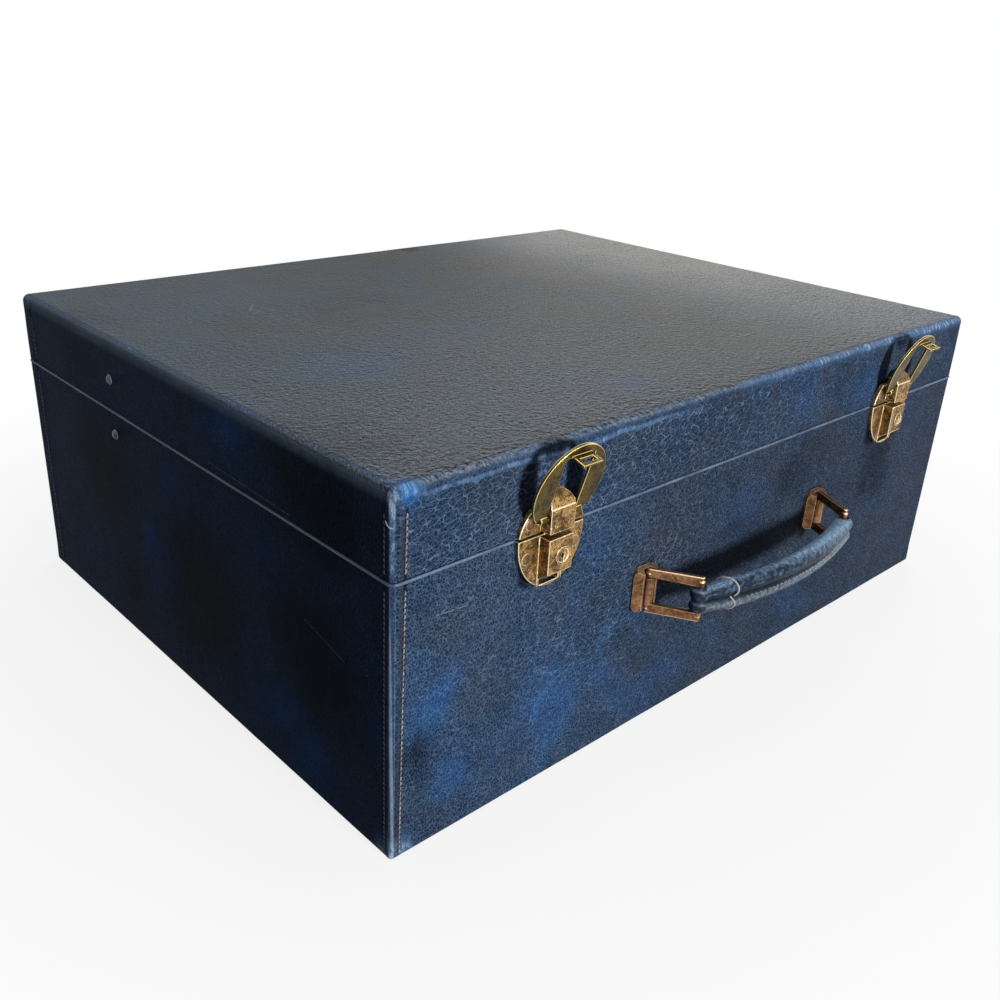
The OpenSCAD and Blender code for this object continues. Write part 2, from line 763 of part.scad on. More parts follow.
// Bent leaf in the lock case that presses on the bolt: a foot on the face, and a crest at the bolt
module bolt_spring() {
    foot_y = box_y + box_wall;
    crest_y = bolt_y - bolt_t / 2 - pass_gap;
    low = bolt_block_z + bolt_throw;
    high = low + lock_spring_h;
    bend = low + lock_spring_low + lock_spring_half_w / 2;
    color(steel_dark) translate([bolt_half_w - lock_spring_inset - lock_spring_half_w, 0, 0])
        along_x(-lock_spring_half_w, lock_spring_half_w)
            polygon([[foot_y, high], [foot_y, high - lock_spring_foot], [crest_y - lock_spring_t, bend],
                     [crest_y - lock_spring_t, low], [crest_y, low], [crest_y, bend],
                     [foot_y + lock_spring_t, high - lock_spring_foot + lock_spring_t],
                     [foot_y + lock_spring_t, high]]);
}

module lock_plate_rivets() {
    color(brass_dark) at_lower_lock_rivets() {
        rod_y(0, 0, plate_y, front_y + base_board_in, plate_rivet_r);
        translate([0, plate_y, 0]) rotate([90, 0, 0]) dome(plate_rivet_head_r, plate_rivet_head_h);
    }
}

// Pressed plate on the lid: the oval above the seam, cut off at its shoulders, and a tongue
module hasp_plate() {
    color(brass) difference() {
        along_y(plate_y, front_y) {
            intersection() {
                plate_oval();
                translate([-plate_a, upper_plate_bottom])
                    square([2 * plate_a, shoulder_z - upper_plate_bottom]);
            }
            intersection() {
                plate_oval();
                translate([-tongue_half_w, upper_plate_bottom])
                    square([2 * tongue_half_w, tongue_top - upper_plate_bottom]);
            }
        }
        for (side = [-1, 1])
            rod_y(side * upper_rivet_x, upper_rivet_z, plate_y - 1, front_y + 1, plate_rivet_r + run_clear);
    }
}

// Rounded crest on the hasp housing: a disc that curves back towards its top
module housing_crest() {
    intersection() {
        rod_y(0, housing_flat_top, box_y, plate_y, box_half_w);
        rod_x(dome_y, dome_z, -box_half_w, box_half_w, dome_r);
        translate([-box_half_w, box_y, housing_flat_top - 0.5])
            cube([2 * box_half_w, box_proud, 2 * dome_r]);
    }
}

// Hollow hasp housing: a box with a rounded crest, bored across for the pivot pin and a cross pin
module hasp_housing() {
    cavity_top = housing_flat_top - box_wall;
    color(brass) difference() {
        union() {
            translate([-box_half_w, box_y, housing_bottom])
                cube([2 * box_half_w, box_proud, housing_flat_top - housing_bottom]);
            housing_crest();
        }
        translate([-box_half_w + box_wall, box_y + box_wall, housing_bottom + box_wall])
            cube([2 * (box_half_w - box_wall), box_proud, cavity_top - housing_bottom - box_wall]);
        rod_x(pivot_y, pivot_z, -2 * box_half_w, 2 * box_half_w, pivot_pin_r + run_clear);
        rod_x(cross_pin_y, cross_pin_z, -2 * box_half_w, 2 * box_half_w, cross_pin_r + run_clear);
    }
}

// Pins across the lower part of both housings
module hasp_cross_pins() {
    half_w = box_half_w + cross_pin_proud;
    color(brass) for (lock = [-1, 1]) translate([lock * lock_x, 0, 0])
        rod_x(cross_pin_y, cross_pin_z, -half_w, half_w, cross_pin_r);
}

module hasp_pin() {
    color(steel) rod_x(pivot_y, pivot_z, -ring_knuckle_out, ring_knuckle_out, pivot_pin_r);
}

// Bowed leaf on the plate, under the pivot pin, that keeps the ring where it is put
module hasp_spring() {
    crest_y = pivot_y + pivot_pin_r + hasp_spring_gap;
    low = pivot_z - hasp_spring_reach;
    color(steel_dark) along_x(-hasp_spring_half_w, hasp_spring_half_w)
        polygon([[plate_y, low], [plate_y, low + hasp_spring_foot],
                 [crest_y + hasp_spring_t, pivot_z - hasp_spring_crest],
                 [crest_y + hasp_spring_t, pivot_z + hasp_spring_crest],
                 [crest_y, pivot_z + hasp_spring_crest], [crest_y, pivot_z - hasp_spring_crest],
                 [plate_y - hasp_spring_t, low + hasp_spring_foot], [plate_y - hasp_spring_t, low]]);
}

// Outline of the ring, flat, with its pivot at the origin and its reach along the second axis
module ring_outline() {
    difference() {
        intersection() {
            translate([0, ring_reach])
                polygon([for (a = [0 : 5 : 355]) [ring_a * cos(a), ring_b * sin(a)]]);
            translate([-ring_a, ring_arm_start]) square([2 * ring_a, 2 * ring_b]);
        }
        translate([-ring_open_half_w, ring_arm_start - over])
            square([2 * ring_open_half_w, tab_r - ring_arm_start + over]);
    }
}

// Ring lying in its own plane: first axis X, second axis its reach, third axis towards the case
module flat_ring() {
    difference() {
        union() {
            translate([0, 0, -ring_t / 2]) linear_extrude(ring_t) ring_outline();
            for (side = [0, 1]) mirror([side, 0, 0])
                translate([ring_knuckle_in, 0, 0]) rotate([0, 90, 0])
                    cylinder(r = ring_knuckle_r, h = ring_knuckle_out - ring_knuckle_in);
            translate([-tab_half_w, tab_r, -tab_len])
                cube([2 * tab_half_w, tab_t, tab_len]);
        }
        translate([-2 * ring_a, 0, 0]) rotate([0, 90, 0])
            cylinder(r = pivot_pin_r + run_clear, h = 4 * ring_a);
        translate([-slot_half_w, tab_r - 1, -slot_reach - slot_t / 2])
            cube([2 * slot_half_w, tab_t + 2, slot_t]);
    }
}

// Ring swung up and leaning out, as it rests
module hasp_ring() {
    color(brass) translate([0, pivot_y, pivot_z]) rotate([90 + ring_tilt, 0, 0])
        mirror([0, 0, 1]) flat_ring();
}

module hasp_plate_rivets() {
    color(brass_dark) at_upper_lock_rivets() {
        rod_y(0, 0, plate_y, front_y + lid_board_in, plate_rivet_r);
        translate([0, plate_y, 0]) rotate([90, 0, 0]) dome(plate_rivet_head_r, plate_rivet_head_h);
    }
}

// Bracket of a handle loop: a pressing with two ridges and a knuckle round the loop's bar
module handle_bracket(x) {
    half_w = bracket_w / 2;
    half_h = bracket_h / 2;
    ridge_half_w = 0.4;
    color(copper) difference() {
        union() {
            intersection() {
                translate([x, front_y, 0]) along_z(handle_z - half_h, handle_z + half_h)
                    polygon([[-half_w, 0], [-half_w, -bracket_edge_t],
                             [-bracket_ridge - ridge_half_w, -bracket_proud],
                             [-bracket_ridge + ridge_half_w, -bracket_proud],
                             [-bracket_valley_half_w, -bracket_valley_t],
                             [bracket_valley_half_w, -bracket_valley_t],
                             [bracket_ridge - ridge_half_w, -bracket_proud],
                             [bracket_ridge + ridge_half_w, -bracket_proud],
                             [half_w, -bracket_edge_t], [half_w, 0]]);
                translate([0, front_y, handle_z]) along_x(x - bracket_w, x + bracket_w)
                    polygon([[0, -half_h], [-bracket_proud, bracket_end_bevel - half_h],
                             [-bracket_proud, half_h - bracket_end_bevel], [0, half_h]]);
                translate([x, 0, handle_z]) along_y(front_y - bracket_proud, front_y)
                    round_section(bracket_w, -half_h, half_h, bracket_corner_r, bracket_corner_r);
            }
            along_z(handle_z - bracket_knuckle_h / 2, handle_z + bracket_knuckle_h / 2) {
                translate([x, handle_pivot_y]) circle(bracket_knuckle_r);
                translate([x - bracket_knuckle_r, handle_pivot_y])
                    square([2 * bracket_knuckle_r, handle_pivot_proud]);
            }
        }
        translate([x, handle_pivot_y, handle_z - bracket_h])
            cylinder(r = loop_bar_r + run_clear, h = 2 * bracket_h);
        at_bracket_rivets() rod_y(0, 0, front_y - bracket_rivet_seat - run_clear, front_y + 1,
                                  bracket_rivet_r + run_clear);
    }
}

module handle_bracket_rivets() {
    color(steel) at_bracket_rivets() {
        rod_y(0, 0, front_y - bracket_rivet_seat, backing_y + backing_t, bracket_rivet_r);
        translate([0, backing_y + backing_t, 0]) rotate([-90, 0, 0]) dome(backing_head_r, backing_head_h);
    }
}

module handle_backing_plates() {
    color(steel_dark) difference() {
        for (side = [-1, 1])
            translate([handle_x + side * handle_pivot_x - backing_w / 2, backing_y,
                       handle_z - backing_h / 2])
                cube([backing_w, backing_t, backing_h]);
        at_bracket_rivets() rod_y(0, 0, backing_y - 1, backing_y + backing_t + 1,
                                  bracket_rivet_r + run_clear);
    }
}

// Rectangular metal loop that runs along +X from its pivot bar at the origin to its grip bar
module flat_loop() {
    for (row = [-1, 1])
        translate([0, -loop_arm_t / 2, row * (loop_h - loop_arm_h) / 2 - loop_arm_h / 2]) {
            cube([loop_len, loop_arm_t, loop_arm_h]);
            translate([0, loop_arm_t / 2, 0]) cylinder(r = loop_arm_t / 2, h = loop_arm_h);
            translate([loop_len, loop_arm_t / 2, 0]) cylinder(r = loop_arm_t / 2, h = loop_arm_h);
        }
    for (x = [0, loop_len])
        translate([x, 0, -loop_h / 2 + loop_arm_h / 2]) cylinder(r = loop_bar_r, h = loop_h - loop_arm_h);
}

module left_handle_loop() {
    color(copper) translate([left_pivot[0], left_pivot[1], handle_z]) rotate([0, 0, -left_loop_angle])
        flat_loop();
}

module right_handle_loop() {
    color(copper) translate([right_pivot[0], right_pivot[1], handle_z])
        rotate([0, 0, 180 + right_loop_angle]) flat_loop();
}

// Frame of the grip: origin at the left loop's grip bar, first axis towards the right one
module in_grip_frame() {
    translate([left_grip_end[0], left_grip_end[1], 0]) rotate([0, 0, grip_turn]) children();
}

// Bowed tube between the two grip bars
module grip_arc(r, z) {
    in_grip_frame() translate([grip_span / 2, grip_radius - grip_bow, z])
        rotate([0, 0, -90 - grip_half_angle])
            rotate_extrude(angle = 2 * grip_half_angle) translate([grip_radius, 0]) circle(r);
}

// Space that the leather sleeves take at both ends of the grip
module sleeve_space(gap) {
    in_grip_frame() for (x = [0, grip_span])
        translate([x, 0, handle_z - loop_h]) cylinder(r = grip_sleeve_r + gap, h = 2 * loop_h);
}

module grip_tube() {
    color(navy) difference() {
        grip_arc(grip_tube_r, grip_tube_z);
        sleeve_space(0);
    }
}

module grip_welt() {
    color(navy_pale) difference() {
        grip_arc(grip_welt_r, grip_welt_z);
        grip_arc(grip_tube_r, grip_tube_z);
        sleeve_space(0);
    }
}

// Leather sleeve round a grip bar, at one end of the grip
module grip_sleeve(x, bore_r) {
    color(navy) in_grip_frame() translate([x, 0, handle_z - sleeve_h / 2])
        difference() {
            cylinder(r = grip_sleeve_r, h = sleeve_h);
            translate([0, 0, -1]) cylinder(r = bore_r, h = sleeve_h + 2);
        }
}

// Open turn of thread round the tube or the welt, near the left end of the grip
module thread_turn(r, z, from, turn) {
    in_grip_frame() translate([grip_span / 2, grip_radius - grip_bow, z])
        rotate([0, 0, -90 - thread_angle]) translate([grip_radius, 0, 0]) rotate([90, 0, 0])
            rotate_extrude(angle = turn, start = from) translate([r + thread_r, 0])
                circle(thread_r, $fn = 16);
}

module grip_threads() {
    color(thread) {
        thread_turn(grip_tube_r, grip_tube_z, thread_tube_from, thread_tube_turn);
        thread_turn(grip_welt_r, grip_welt_z, thread_welt_from, thread_welt_turn);
    }
}

// Flat arm in Y and Z between two pivots, with a round eye at each end
module stay_bar(from, to, from_hole_r, to_hole_r, x0, x1) {
    run = to - from;
    length = norm(run);
    slant = atan2(run[1], run[0]);
    along_x(x0, x1) difference() {
        union() {
            translate(from) rotate(slant) translate([0, -stay_arm_w / 2]) square([length, stay_arm_w]);
            translate(from) circle(stay_eye_r);
            translate(to) circle(stay_eye_r);
        }
        translate(from) circle(from_hole_r);
        translate(to) circle(to_hole_r);
    }
}

module stay_lower_arm() {
    color(steel) stay_bar([stay_y, stay_base_z], [stay_knee_y, stay_knee_z], stay_pin_r + run_clear,
                          stay_pin_r + run_clear, stay_lower_x - stay_arm_t, stay_lower_x);
}

module stay_upper_arm() {
    color(steel) stay_bar([stay_knee_y, stay_knee_z], [stay_y, stay_lid_z], stay_pin_r + run_clear,
                          stay_pin_r + stay_eye_slack, stay_upper_x - stay_arm_t, stay_upper_x);
}

// Rivet at the knee of a stay: flush in the lower arm, headed over the upper arm
module stay_knee_rivet() {
    head_x = stay_upper_x - stay_arm_t - stay_gap;
    color(steel_dark) {
        rod_x(stay_knee_y, stay_knee_z, head_x, stay_lower_x, stay_pin_r);
        translate([head_x, stay_knee_y, stay_knee_z])
            rotate([0, -90, 0]) dome(stay_inner_head_r, stay_inner_head_h);
    }
}

// Rivet through an end wall, with a domed head outside and another over the arm
module stay_wall_rivet(z, arm_x) {
    head_x = arm_x - stay_arm_t - stay_gap;
    rod_x(stay_y, z, head_x, end_x, stay_pin_r);
    translate([end_x, stay_y, z]) rotate([0, 90, 0]) dome(stay_head_r, stay_head_h);
    translate([head_x, stay_y, z]) rotate([0, -90, 0]) dome(stay_inner_head_r, stay_inner_head_h);
}

module stay_base_rivets() {
    color(steel) both_sides() stay_wall_rivet(stay_base_z, stay_lower_x);
}

module stay_lid_rivets() {
    color(steel) both_sides() stay_wall_rivet(stay_lid_z, stay_upper_x);
}

// Turned spacer on a stay rivet, between the lining and the arm
module stay_spacer(z, wall_x, arm_x) {
    difference() {
        rod_x(stay_y, z, arm_x + stay_gap, wall_x, stay_spacer_r);
        rod_x(stay_y, z, arm_x - 1, wall_x + 1, stay_pin_r + run_clear);
    }
}

module stay_spacers() {
    color(steel_dark) both_sides() stay_spacer(stay_base_z, end_x - base_lining_in, stay_lower_x);
}

module stay_lid_spacers() {
    color(steel_dark) both_sides() stay_spacer(stay_lid_z, end_x - lid_lining_in, stay_upper_x);
}

// A lock's pieces, moved to the left or the right of the case
module at_lock(side) {
    translate([side * lock_x, 0, 0]) children();
}

base_walls();
base_floor();
base_side_cover();
base_bottom_cover();
base_rim_bead();
base_lip();
base_lining();
lid_walls();
lid_top_panel();
lid_cover();
lid_lining();
hinge_lower_leaves();
hinge_upper_leaves();
hinge_pins();
hinge_lower_rivets();
hinge_upper_rivets();
at_lock(-1) lock_plate();  // left_lock_plate
at_lock(1) lock_plate();  // right_lock_plate
at_lock(-1) lock_case();  // left_lock_case
at_lock(1) lock_case();  // right_lock_case
at_lock(-1) escutcheon();  // left_escutcheon
at_lock(1) escutcheon();  // right_escutcheon
at_lock(-1) lock_bolt();  // left_lock_bolt
at_lock(1) lock_bolt();  // right_lock_bolt
at_lock(-1) bolt_spring();  // left_bolt_spring
at_lock(1) bolt_spring();  // right_bolt_spring
lock_plate_rivets();
at_lock(-1) hasp_plate();  // left_hasp_plate
at_lock(1) hasp_plate();  // right_hasp_plate
at_lock(-1) hasp_housing();  // left_hasp_housing
at_lock(1) hasp_housing();  // right_hasp_housing
at_lock(-1) hasp_pin();  // left_hasp_pin
at_lock(1) hasp_pin();  // right_hasp_pin
hasp_cross_pins();
at_lock(-1) hasp_spring();  // left_hasp_spring
at_lock(1) hasp_spring();  // right_hasp_spring
at_lock(-1) hasp_ring();  // left_hasp_ring
at_lock(1) hasp_ring();  // right_hasp_ring
hasp_plate_rivets();
handle_bracket(left_pivot[0]);  // left_handle_bracket
handle_bracket(right_pivot[0]);  // right_handle_bracket
handle_bracket_rivets();
handle_backing_plates();
left_handle_loop();
right_handle_loop();
grip_tube();
grip_welt();
grip_sleeve(0, loop_bar_r + run_clear);  // grip_left_sleeve
grip_sleeve(grip_span, loop_bar_r + grip_slack);  // grip_right_sleeve
grip_threads();
mirror([1, 0, 0]) stay_lower_arm();  // left_stay_lower_arm
stay_lower_arm();  // right_stay_lower_arm
mirror([1, 0, 0]) stay_upper_arm();  // left_stay_upper_arm
stay_upper_arm();  // right_stay_upper_arm
mirror([1, 0, 0]) stay_knee_rivet();  // left_stay_knee_rivet
stay_knee_rivet();  // right_stay_knee_rivet
stay_base_rivets();
stay_lid_rivets();
stay_spacers();
stay_lid_spacers();
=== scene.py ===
"""Scene of a hard travel case covered in blue leathercloth, for Blender 4.5.

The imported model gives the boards, hinges, stays and the works of the locks. The classes below make
the leathercloth, its stitches and bead, the pressed metal and the leather grip round them.
Lengths are in metres. The front of the case is -Y, and +Z is up.
"""
from __future__ import annotations

import json
import logging
import math
from dataclasses import dataclass, field
from enum import Enum
from typing import Iterable, Sequence

import bmesh
import bpy
import numpy as np
from mathutils import Matrix, Vector, noise

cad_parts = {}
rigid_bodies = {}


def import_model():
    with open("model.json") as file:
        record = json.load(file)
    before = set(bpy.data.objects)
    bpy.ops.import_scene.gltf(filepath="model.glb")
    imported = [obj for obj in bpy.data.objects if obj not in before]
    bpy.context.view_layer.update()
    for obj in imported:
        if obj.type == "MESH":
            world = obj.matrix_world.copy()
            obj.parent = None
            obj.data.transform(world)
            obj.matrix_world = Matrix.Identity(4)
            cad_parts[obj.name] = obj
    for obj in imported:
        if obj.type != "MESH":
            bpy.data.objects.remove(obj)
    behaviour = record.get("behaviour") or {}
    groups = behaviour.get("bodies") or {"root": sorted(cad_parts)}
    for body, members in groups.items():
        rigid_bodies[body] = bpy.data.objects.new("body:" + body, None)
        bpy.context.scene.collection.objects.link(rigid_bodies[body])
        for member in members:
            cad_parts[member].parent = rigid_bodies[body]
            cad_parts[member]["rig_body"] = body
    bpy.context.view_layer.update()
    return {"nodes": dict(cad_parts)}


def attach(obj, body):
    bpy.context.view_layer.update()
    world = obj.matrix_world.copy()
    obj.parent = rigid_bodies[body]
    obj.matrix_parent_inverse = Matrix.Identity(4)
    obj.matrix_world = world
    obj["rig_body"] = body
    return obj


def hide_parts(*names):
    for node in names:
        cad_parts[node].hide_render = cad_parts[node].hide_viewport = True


LOG = logging.getLogger("travel_case")
MM = 0.001
UP = Vector((0.0, 0.0, 1.0))
SHARP = math.radians(32.0)
# Where the locks and the hinges stand on each side of the middle, in millimetres.
LOCK_X = 149.2
HINGE_X = 150.0
Place = tuple[float, float, float]
Colour = tuple[float, float, float, float]


def srgb(red: int, green: int, blue: int) -> Colour:
    """A colour as a screen shows it, turned into the shader's linear values.

    Args:
        red: Red from 0 to 255.
        green: Green from 0 to 255.
        blue: Blue from 0 to 255.

    Returns:
        Linear red, green, blue and an alpha of 1.
    """
    def line(v: float) -> float:
        """One channel, from the screen's scale to the linear one."""
        v /= 255.0
        return v / 12.92 if v <= 0.04045 else ((v + 0.055) / 1.055) ** 2.4
    return line(red), line(green), line(blue), 1.0


def smooth(low: float, high: float, value: np.ndarray) -> np.ndarray:
    """A soft step on an array.

    Args:
        low: Where the step starts, with 0 before it.
        high: Where the step ends, with 1 after it.
        value: The values to step.

    Returns:
        The stepped values, from 0 to 1.
    """
    t = np.clip((value - low) / (high - low), 0.0, 1.0)
    return t * t * (3.0 - 2.0 * t)


def close_to(width: float, *gaps: np.ndarray) -> np.ndarray:
    """How close each point is to an edge or a spot.

    Args:
        width: How far the closeness spreads.
        gaps: Each point's distances from it, along one or more axes.

    Returns:
        Values from 1 on it to 0 far away.
    """
    return np.exp(-(np.hypot.reduce(gaps) / width) ** 2)


def wander(points: np.ndarray, size: float, seed: float = 0.0) -> np.ndarray:
    """Smooth noise at each point.

    Args:
        points: Rows of x, y and z in metres.
        size: Width of the noise's swells in metres.
        seed: Shifts the noise, so that two uses differ.

    Returns:
        One value per row, from about -1 to 1.
    """
    shift = Vector((seed * 7.13, seed * 3.71, seed * 5.37))
    return np.array([noise.noise(Vector(p) / size + shift) for p in points.tolist()])


class Shade:
    """One value in a tree of nodes, on which plain arithmetic adds Math nodes."""

    def __init__(self, nodes: Nodes, socket: bpy.types.NodeSocket) -> None:
        """Wraps a socket of a tree."""
        self.nodes = nodes
        self.socket = socket

    def _math(self, operation: str, *others: Shade | float, clamp: bool = False) -> Shade:
        """Adds one Math node.

        Args:
            operation: The Math node's operation.
            others: The values after this one.
            clamp: Whether the result is held between 0 and 1.

        Returns:
            The node's result.
        """
        settings = {"operation": operation, "use_clamp": clamp}
        inputs = dict(enumerate((self, *others)))
        return self.nodes.node("ShaderNodeMath", settings, inputs).value(0)

    def __add__(self, other: Shade | float) -> Shade:
        """This value plus another."""
        return self._math("ADD", other)

    def __radd__(self, other: float) -> Shade:
        """A number plus this value."""
        return self._math("ADD", other)

    def __sub__(self, other: Shade | float) -> Shade:
        """This value less another."""
        return self._math("SUBTRACT", other)

    def __rsub__(self, other: float) -> Shade:
        """A number less this value."""
        return self.nodes.number(other)._math("SUBTRACT", self)

    def __mul__(self, other: Shade | float) -> Shade:
        """This value times another."""
        return self._math("MULTIPLY", other)

    def __rmul__(self, other: float) -> Shade:
        """A number times this value."""
        return self._math("MULTIPLY", other)

    def __abs__(self) -> Shade:
        """This value without its sign."""
        return self._math("ABSOLUTE")

    def most(self, other: Shade | float) -> Shade:
        """The larger of two values."""
        return self._math("MAXIMUM", other)

    def held(self) -> Shade:
        """This value held between 0 and 1."""
        return self._math("ADD", 0.0, clamp=True)

    def step(self, low: float, high: float) -> Shade:
        """A soft step between two levels.

        Args:
            low: The level that gives 0.
            high: The level that gives 1.

        Returns:
            The stepped value.
        """
        settings = {"interpolation_type": "SMOOTHSTEP"}
        inputs = {"Value": self, "From Min": low, "From Max": high}
        return self.nodes.node("ShaderNodeMapRange", settings, inputs).value("Result")


class Built:
    """A node that has been added, with its results by name or number."""

    def __init__(self, nodes: Nodes, node: bpy.types.Node) -> None:
        """Keeps the node and the tree that it belongs to."""
        self.nodes = nodes
        self.made = node

    def value(self, name: str | int = 0) -> Shade:
        """A result of the node that is one number."""
        return Shade(self.nodes, self.made.outputs[name])

    def out(self, name: str | int = 0) -> bpy.types.NodeSocket:
        """A result of the node that is a colour or a vector."""
        return self.made.outputs[name]


class Nodes:
    """The nodes of a material or of the surroundings."""

    def __init__(self, owner: bpy.types.Material | bpy.types.World) -> None:
        """Starts with an empty tree.

        Args:
            owner: The material or the surroundings that the nodes are for.
        """
        owner.use_nodes = True
        self.tree = owner.node_tree
        self.tree.nodes.clear()

    def node(self, kind: str, settings: dict, inputs: dict) -> Built:
        """Adds a node.

        Args:
            kind: The node's type.
            settings: Its properties, which are set first.
            inputs: A value or link for each of its sockets, by name or number.

        Returns:
            The added node.
        """
        made = self.tree.nodes.new(kind)
        for name, value in settings.items():
            setattr(made, name, value)
        for name, value in inputs.items():
            self.feed(made.inputs[name], value)
        return Built(self, made)

    def feed(self, socket: bpy.types.NodeSocket, value: object) -> None:
        """Links a value to a socket, or sets the socket to it.

        Args:
            socket: The socket of a node.
            value: A value of the tree, a result of a node, or plain numbers.
        """
        if isinstance(value, Shade):
            self.tree.links.new(value.socket, socket)
        elif isinstance(value, bpy.types.NodeSocket):
            self.tree.links.new(value, socket)
        else:
            socket.default_value = value

    def number(self, value: float) -> Shade:
        """A plain number as a value of the tree."""
        return self.node("ShaderNodeMath", {"operation": "ADD"}, {0: value, 1: 0.0}).value(0)

    def blend(self, share: Shade, first: Built, second: Built) -> Built:
        """Two shaders as one, with a share of the second."""
        return self.node("ShaderNodeMixShader", {}, {0: share, 1: first.out(), 2: second.out()})

    def seen_plainly(self) -> Shade:
        """A value of 1 for what the camera sees, in a mirror or through glass too, and 0 for light bounces."""
        path = self.node("ShaderNodeLightPath", {}, {})
        return path.value("Is Camera Ray").most(path.value("Is Glossy Ray")).most(path.value("Is Transmission Ray"))


class Recipe(Nodes):
    """The nodes of one finish, from object coordinates to the shader."""

    def __init__(self, name: str) -> None:
        """Makes a material of that name with one shader.

        Args:
            name: The material's name.
        """
        self.material = bpy.data.materials.new(name)
        super().__init__(self.material)
        self.shader = self.node("ShaderNodeBsdfPrincipled", {}, {}).made
        self.node("ShaderNodeOutputMaterial", {}, {"Surface": self.shader.outputs[0]})
        self.places = self.node("ShaderNodeTexCoord", {}, {}).out("Object")
        self.colour: object = None

    def vector(self, operation: str, *inputs: object, scale: float | Shade | None = None) -> Built:
        """Adds one Vector Math node.

        Args:
            operation: The node's operation.
            inputs: Its vectors.
            scale: Its factor, where the operation has one.

        Returns:
            The added node.
        """
        values = dict(enumerate(inputs))
        if scale is not None:
            values["Scale"] = scale
        return self.node("ShaderNodeVectorMath", {"operation": operation}, values)

    def stretched(self, scale: Sequence[float], turn: Sequence[float] = (0, 0, 0),
                  source: bpy.types.NodeSocket | None = None) -> bpy.types.NodeSocket:
        """Coordinates that are turned and scaled.

        Args:
            scale: How many units each metre becomes, along each axis.
            turn: Angles in degrees about each axis.
            source: The coordinates, or none for the object's own.

        Returns:
            The new coordinates.
        """
        angles = tuple(math.radians(a) for a in turn)
        inputs = {"Vector": source or self.places, "Rotation": angles, "Scale": tuple(scale)}
        return self.node("ShaderNodeMapping", {}, inputs).out()

    def noise(self, scale: float, detail: float = 2.0, rough: float = 0.5, bend: float = 0.0,
              source: bpy.types.NodeSocket | None = None) -> Shade:
        """Noise from 0 to 1.

        Args:
            scale: Swells per unit of the coordinates.
            detail: Octaves of finer noise.
            rough: How strong the finer noise is.
            bend: Distortion of the noise.
            source: The coordinates, or none for the object's own.

        Returns:
            The noise.
        """
        inputs = {"Vector": source or self.places, "Scale": scale, "Detail": detail,
                  "Roughness": rough, "Distortion": bend}
        return self.node("ShaderNodeTexNoise", {}, inputs).value("Fac")

    def warped(self, scale: float, reach: float,
               source: bpy.types.NodeSocket | None = None) -> bpy.types.NodeSocket:
        """Coordinates that wander by noise.

        Args:
            scale: Swells of the wander per unit.
            reach: How far a point wanders, in units of the coordinates.
            source: The coordinates, or none for the object's own.

        Returns:
            The new coordinates.
        """
        start = source or self.places
        swirl = self.node("ShaderNodeTexNoise", {}, {"Vector": start, "Scale": scale, "Detail": 2.0})
        centred = self.vector("SUBTRACT", swirl.out("Color"), (0.5, 0.5, 0.5)).out()
        push = self.vector("SCALE", centred, scale=reach * 2.0).out()
        return self.vector("ADD", start, push).out()

    def cells(self, scale: float, source: bpy.types.NodeSocket | None = None,
              feature: str = "DISTANCE_TO_EDGE") -> Shade:
        """Distance to the edge, or to the middle, of the nearest cell.

        Args:
            scale: Cells per unit of the coordinates.
            source: The coordinates, or none for the object's own.
            feature: Which distance the node gives.

        Returns:
            The distance, in cells.
        """
        inputs = {"Vector": source or self.places, "Scale": scale, "Randomness": 1.0}
        return self.node("ShaderNodeTexVoronoi", {"feature": feature}, inputs).value("Distance")

    def axis(self, name: str) -> Shade:
        """One of the object's own coordinates, X, Y or Z, in metres."""
        return self.node("ShaderNodeSeparateXYZ", {}, {"Vector": self.places}).value(name)

    def facing(self, name: str) -> Shade:
        """How much the surface faces along the object's own X, Y or Z, from -1 to 1."""
        normal = self.node("ShaderNodeTexCoord", {}, {}).out("Normal")
        return self.node("ShaderNodeSeparateXYZ", {}, {"Vector": normal}).value(name)

    def painted(self, name: str) -> Shade:
        """A value that is kept on the mesh's points under a name."""
        return self.node("ShaderNodeAttribute", {"attribute_name": name}, {}).value("Fac")

    def mix(self, share: Shade | float, first: object, second: object) -> bpy.types.NodeSocket:
        """A colour between two colours.

        Args:
            share: How much of the second colour there is, which is held between 0 and 1.
            first: The first colour.
            second: The second colour.

        Returns:
            The mixed colour.
        """
        made = self.node("ShaderNodeMix", {"data_type": "RGBA", "clamp_factor": True}, {"Factor": share})
        self.feed(made.made.inputs[6], first)
        self.feed(made.made.inputs[7], second)
        return made.out(2)

    def lay(self, share: Shade, colour: object) -> None:
        """Lays a share of a colour over the colour so far."""
        self.colour = self.mix(share, self.colour, colour)

    def bump(self, height: Shade, depth: float, strength: float = 1.0,
             under: bpy.types.NodeSocket | None = None) -> bpy.types.NodeSocket:
        """A normal that follows a height.

        Args:
            height: The height, from 0 to 1.
            depth: The height's size in metres.
            strength: How much of it is used.
            under: A normal that this one adds to.

        Returns:
            The normal.
        """
        inputs = {"Height": height, "Distance": depth, "Strength": strength}
        if under is not None:
            inputs["Normal"] = under
        return self.node("ShaderNodeBump", {}, inputs).out()

    def set(self, **sockets: object) -> bpy.types.Material:
        """Feeds the shader's sockets and gives the material.

        Args:
            sockets: A value or link for each socket, with _ for each space of its name.

        Returns:
            The material.
        """
        for name, value in sockets.items():
            self.feed(self.shader.inputs[name.replace("_", " ")], value)
        return self.material


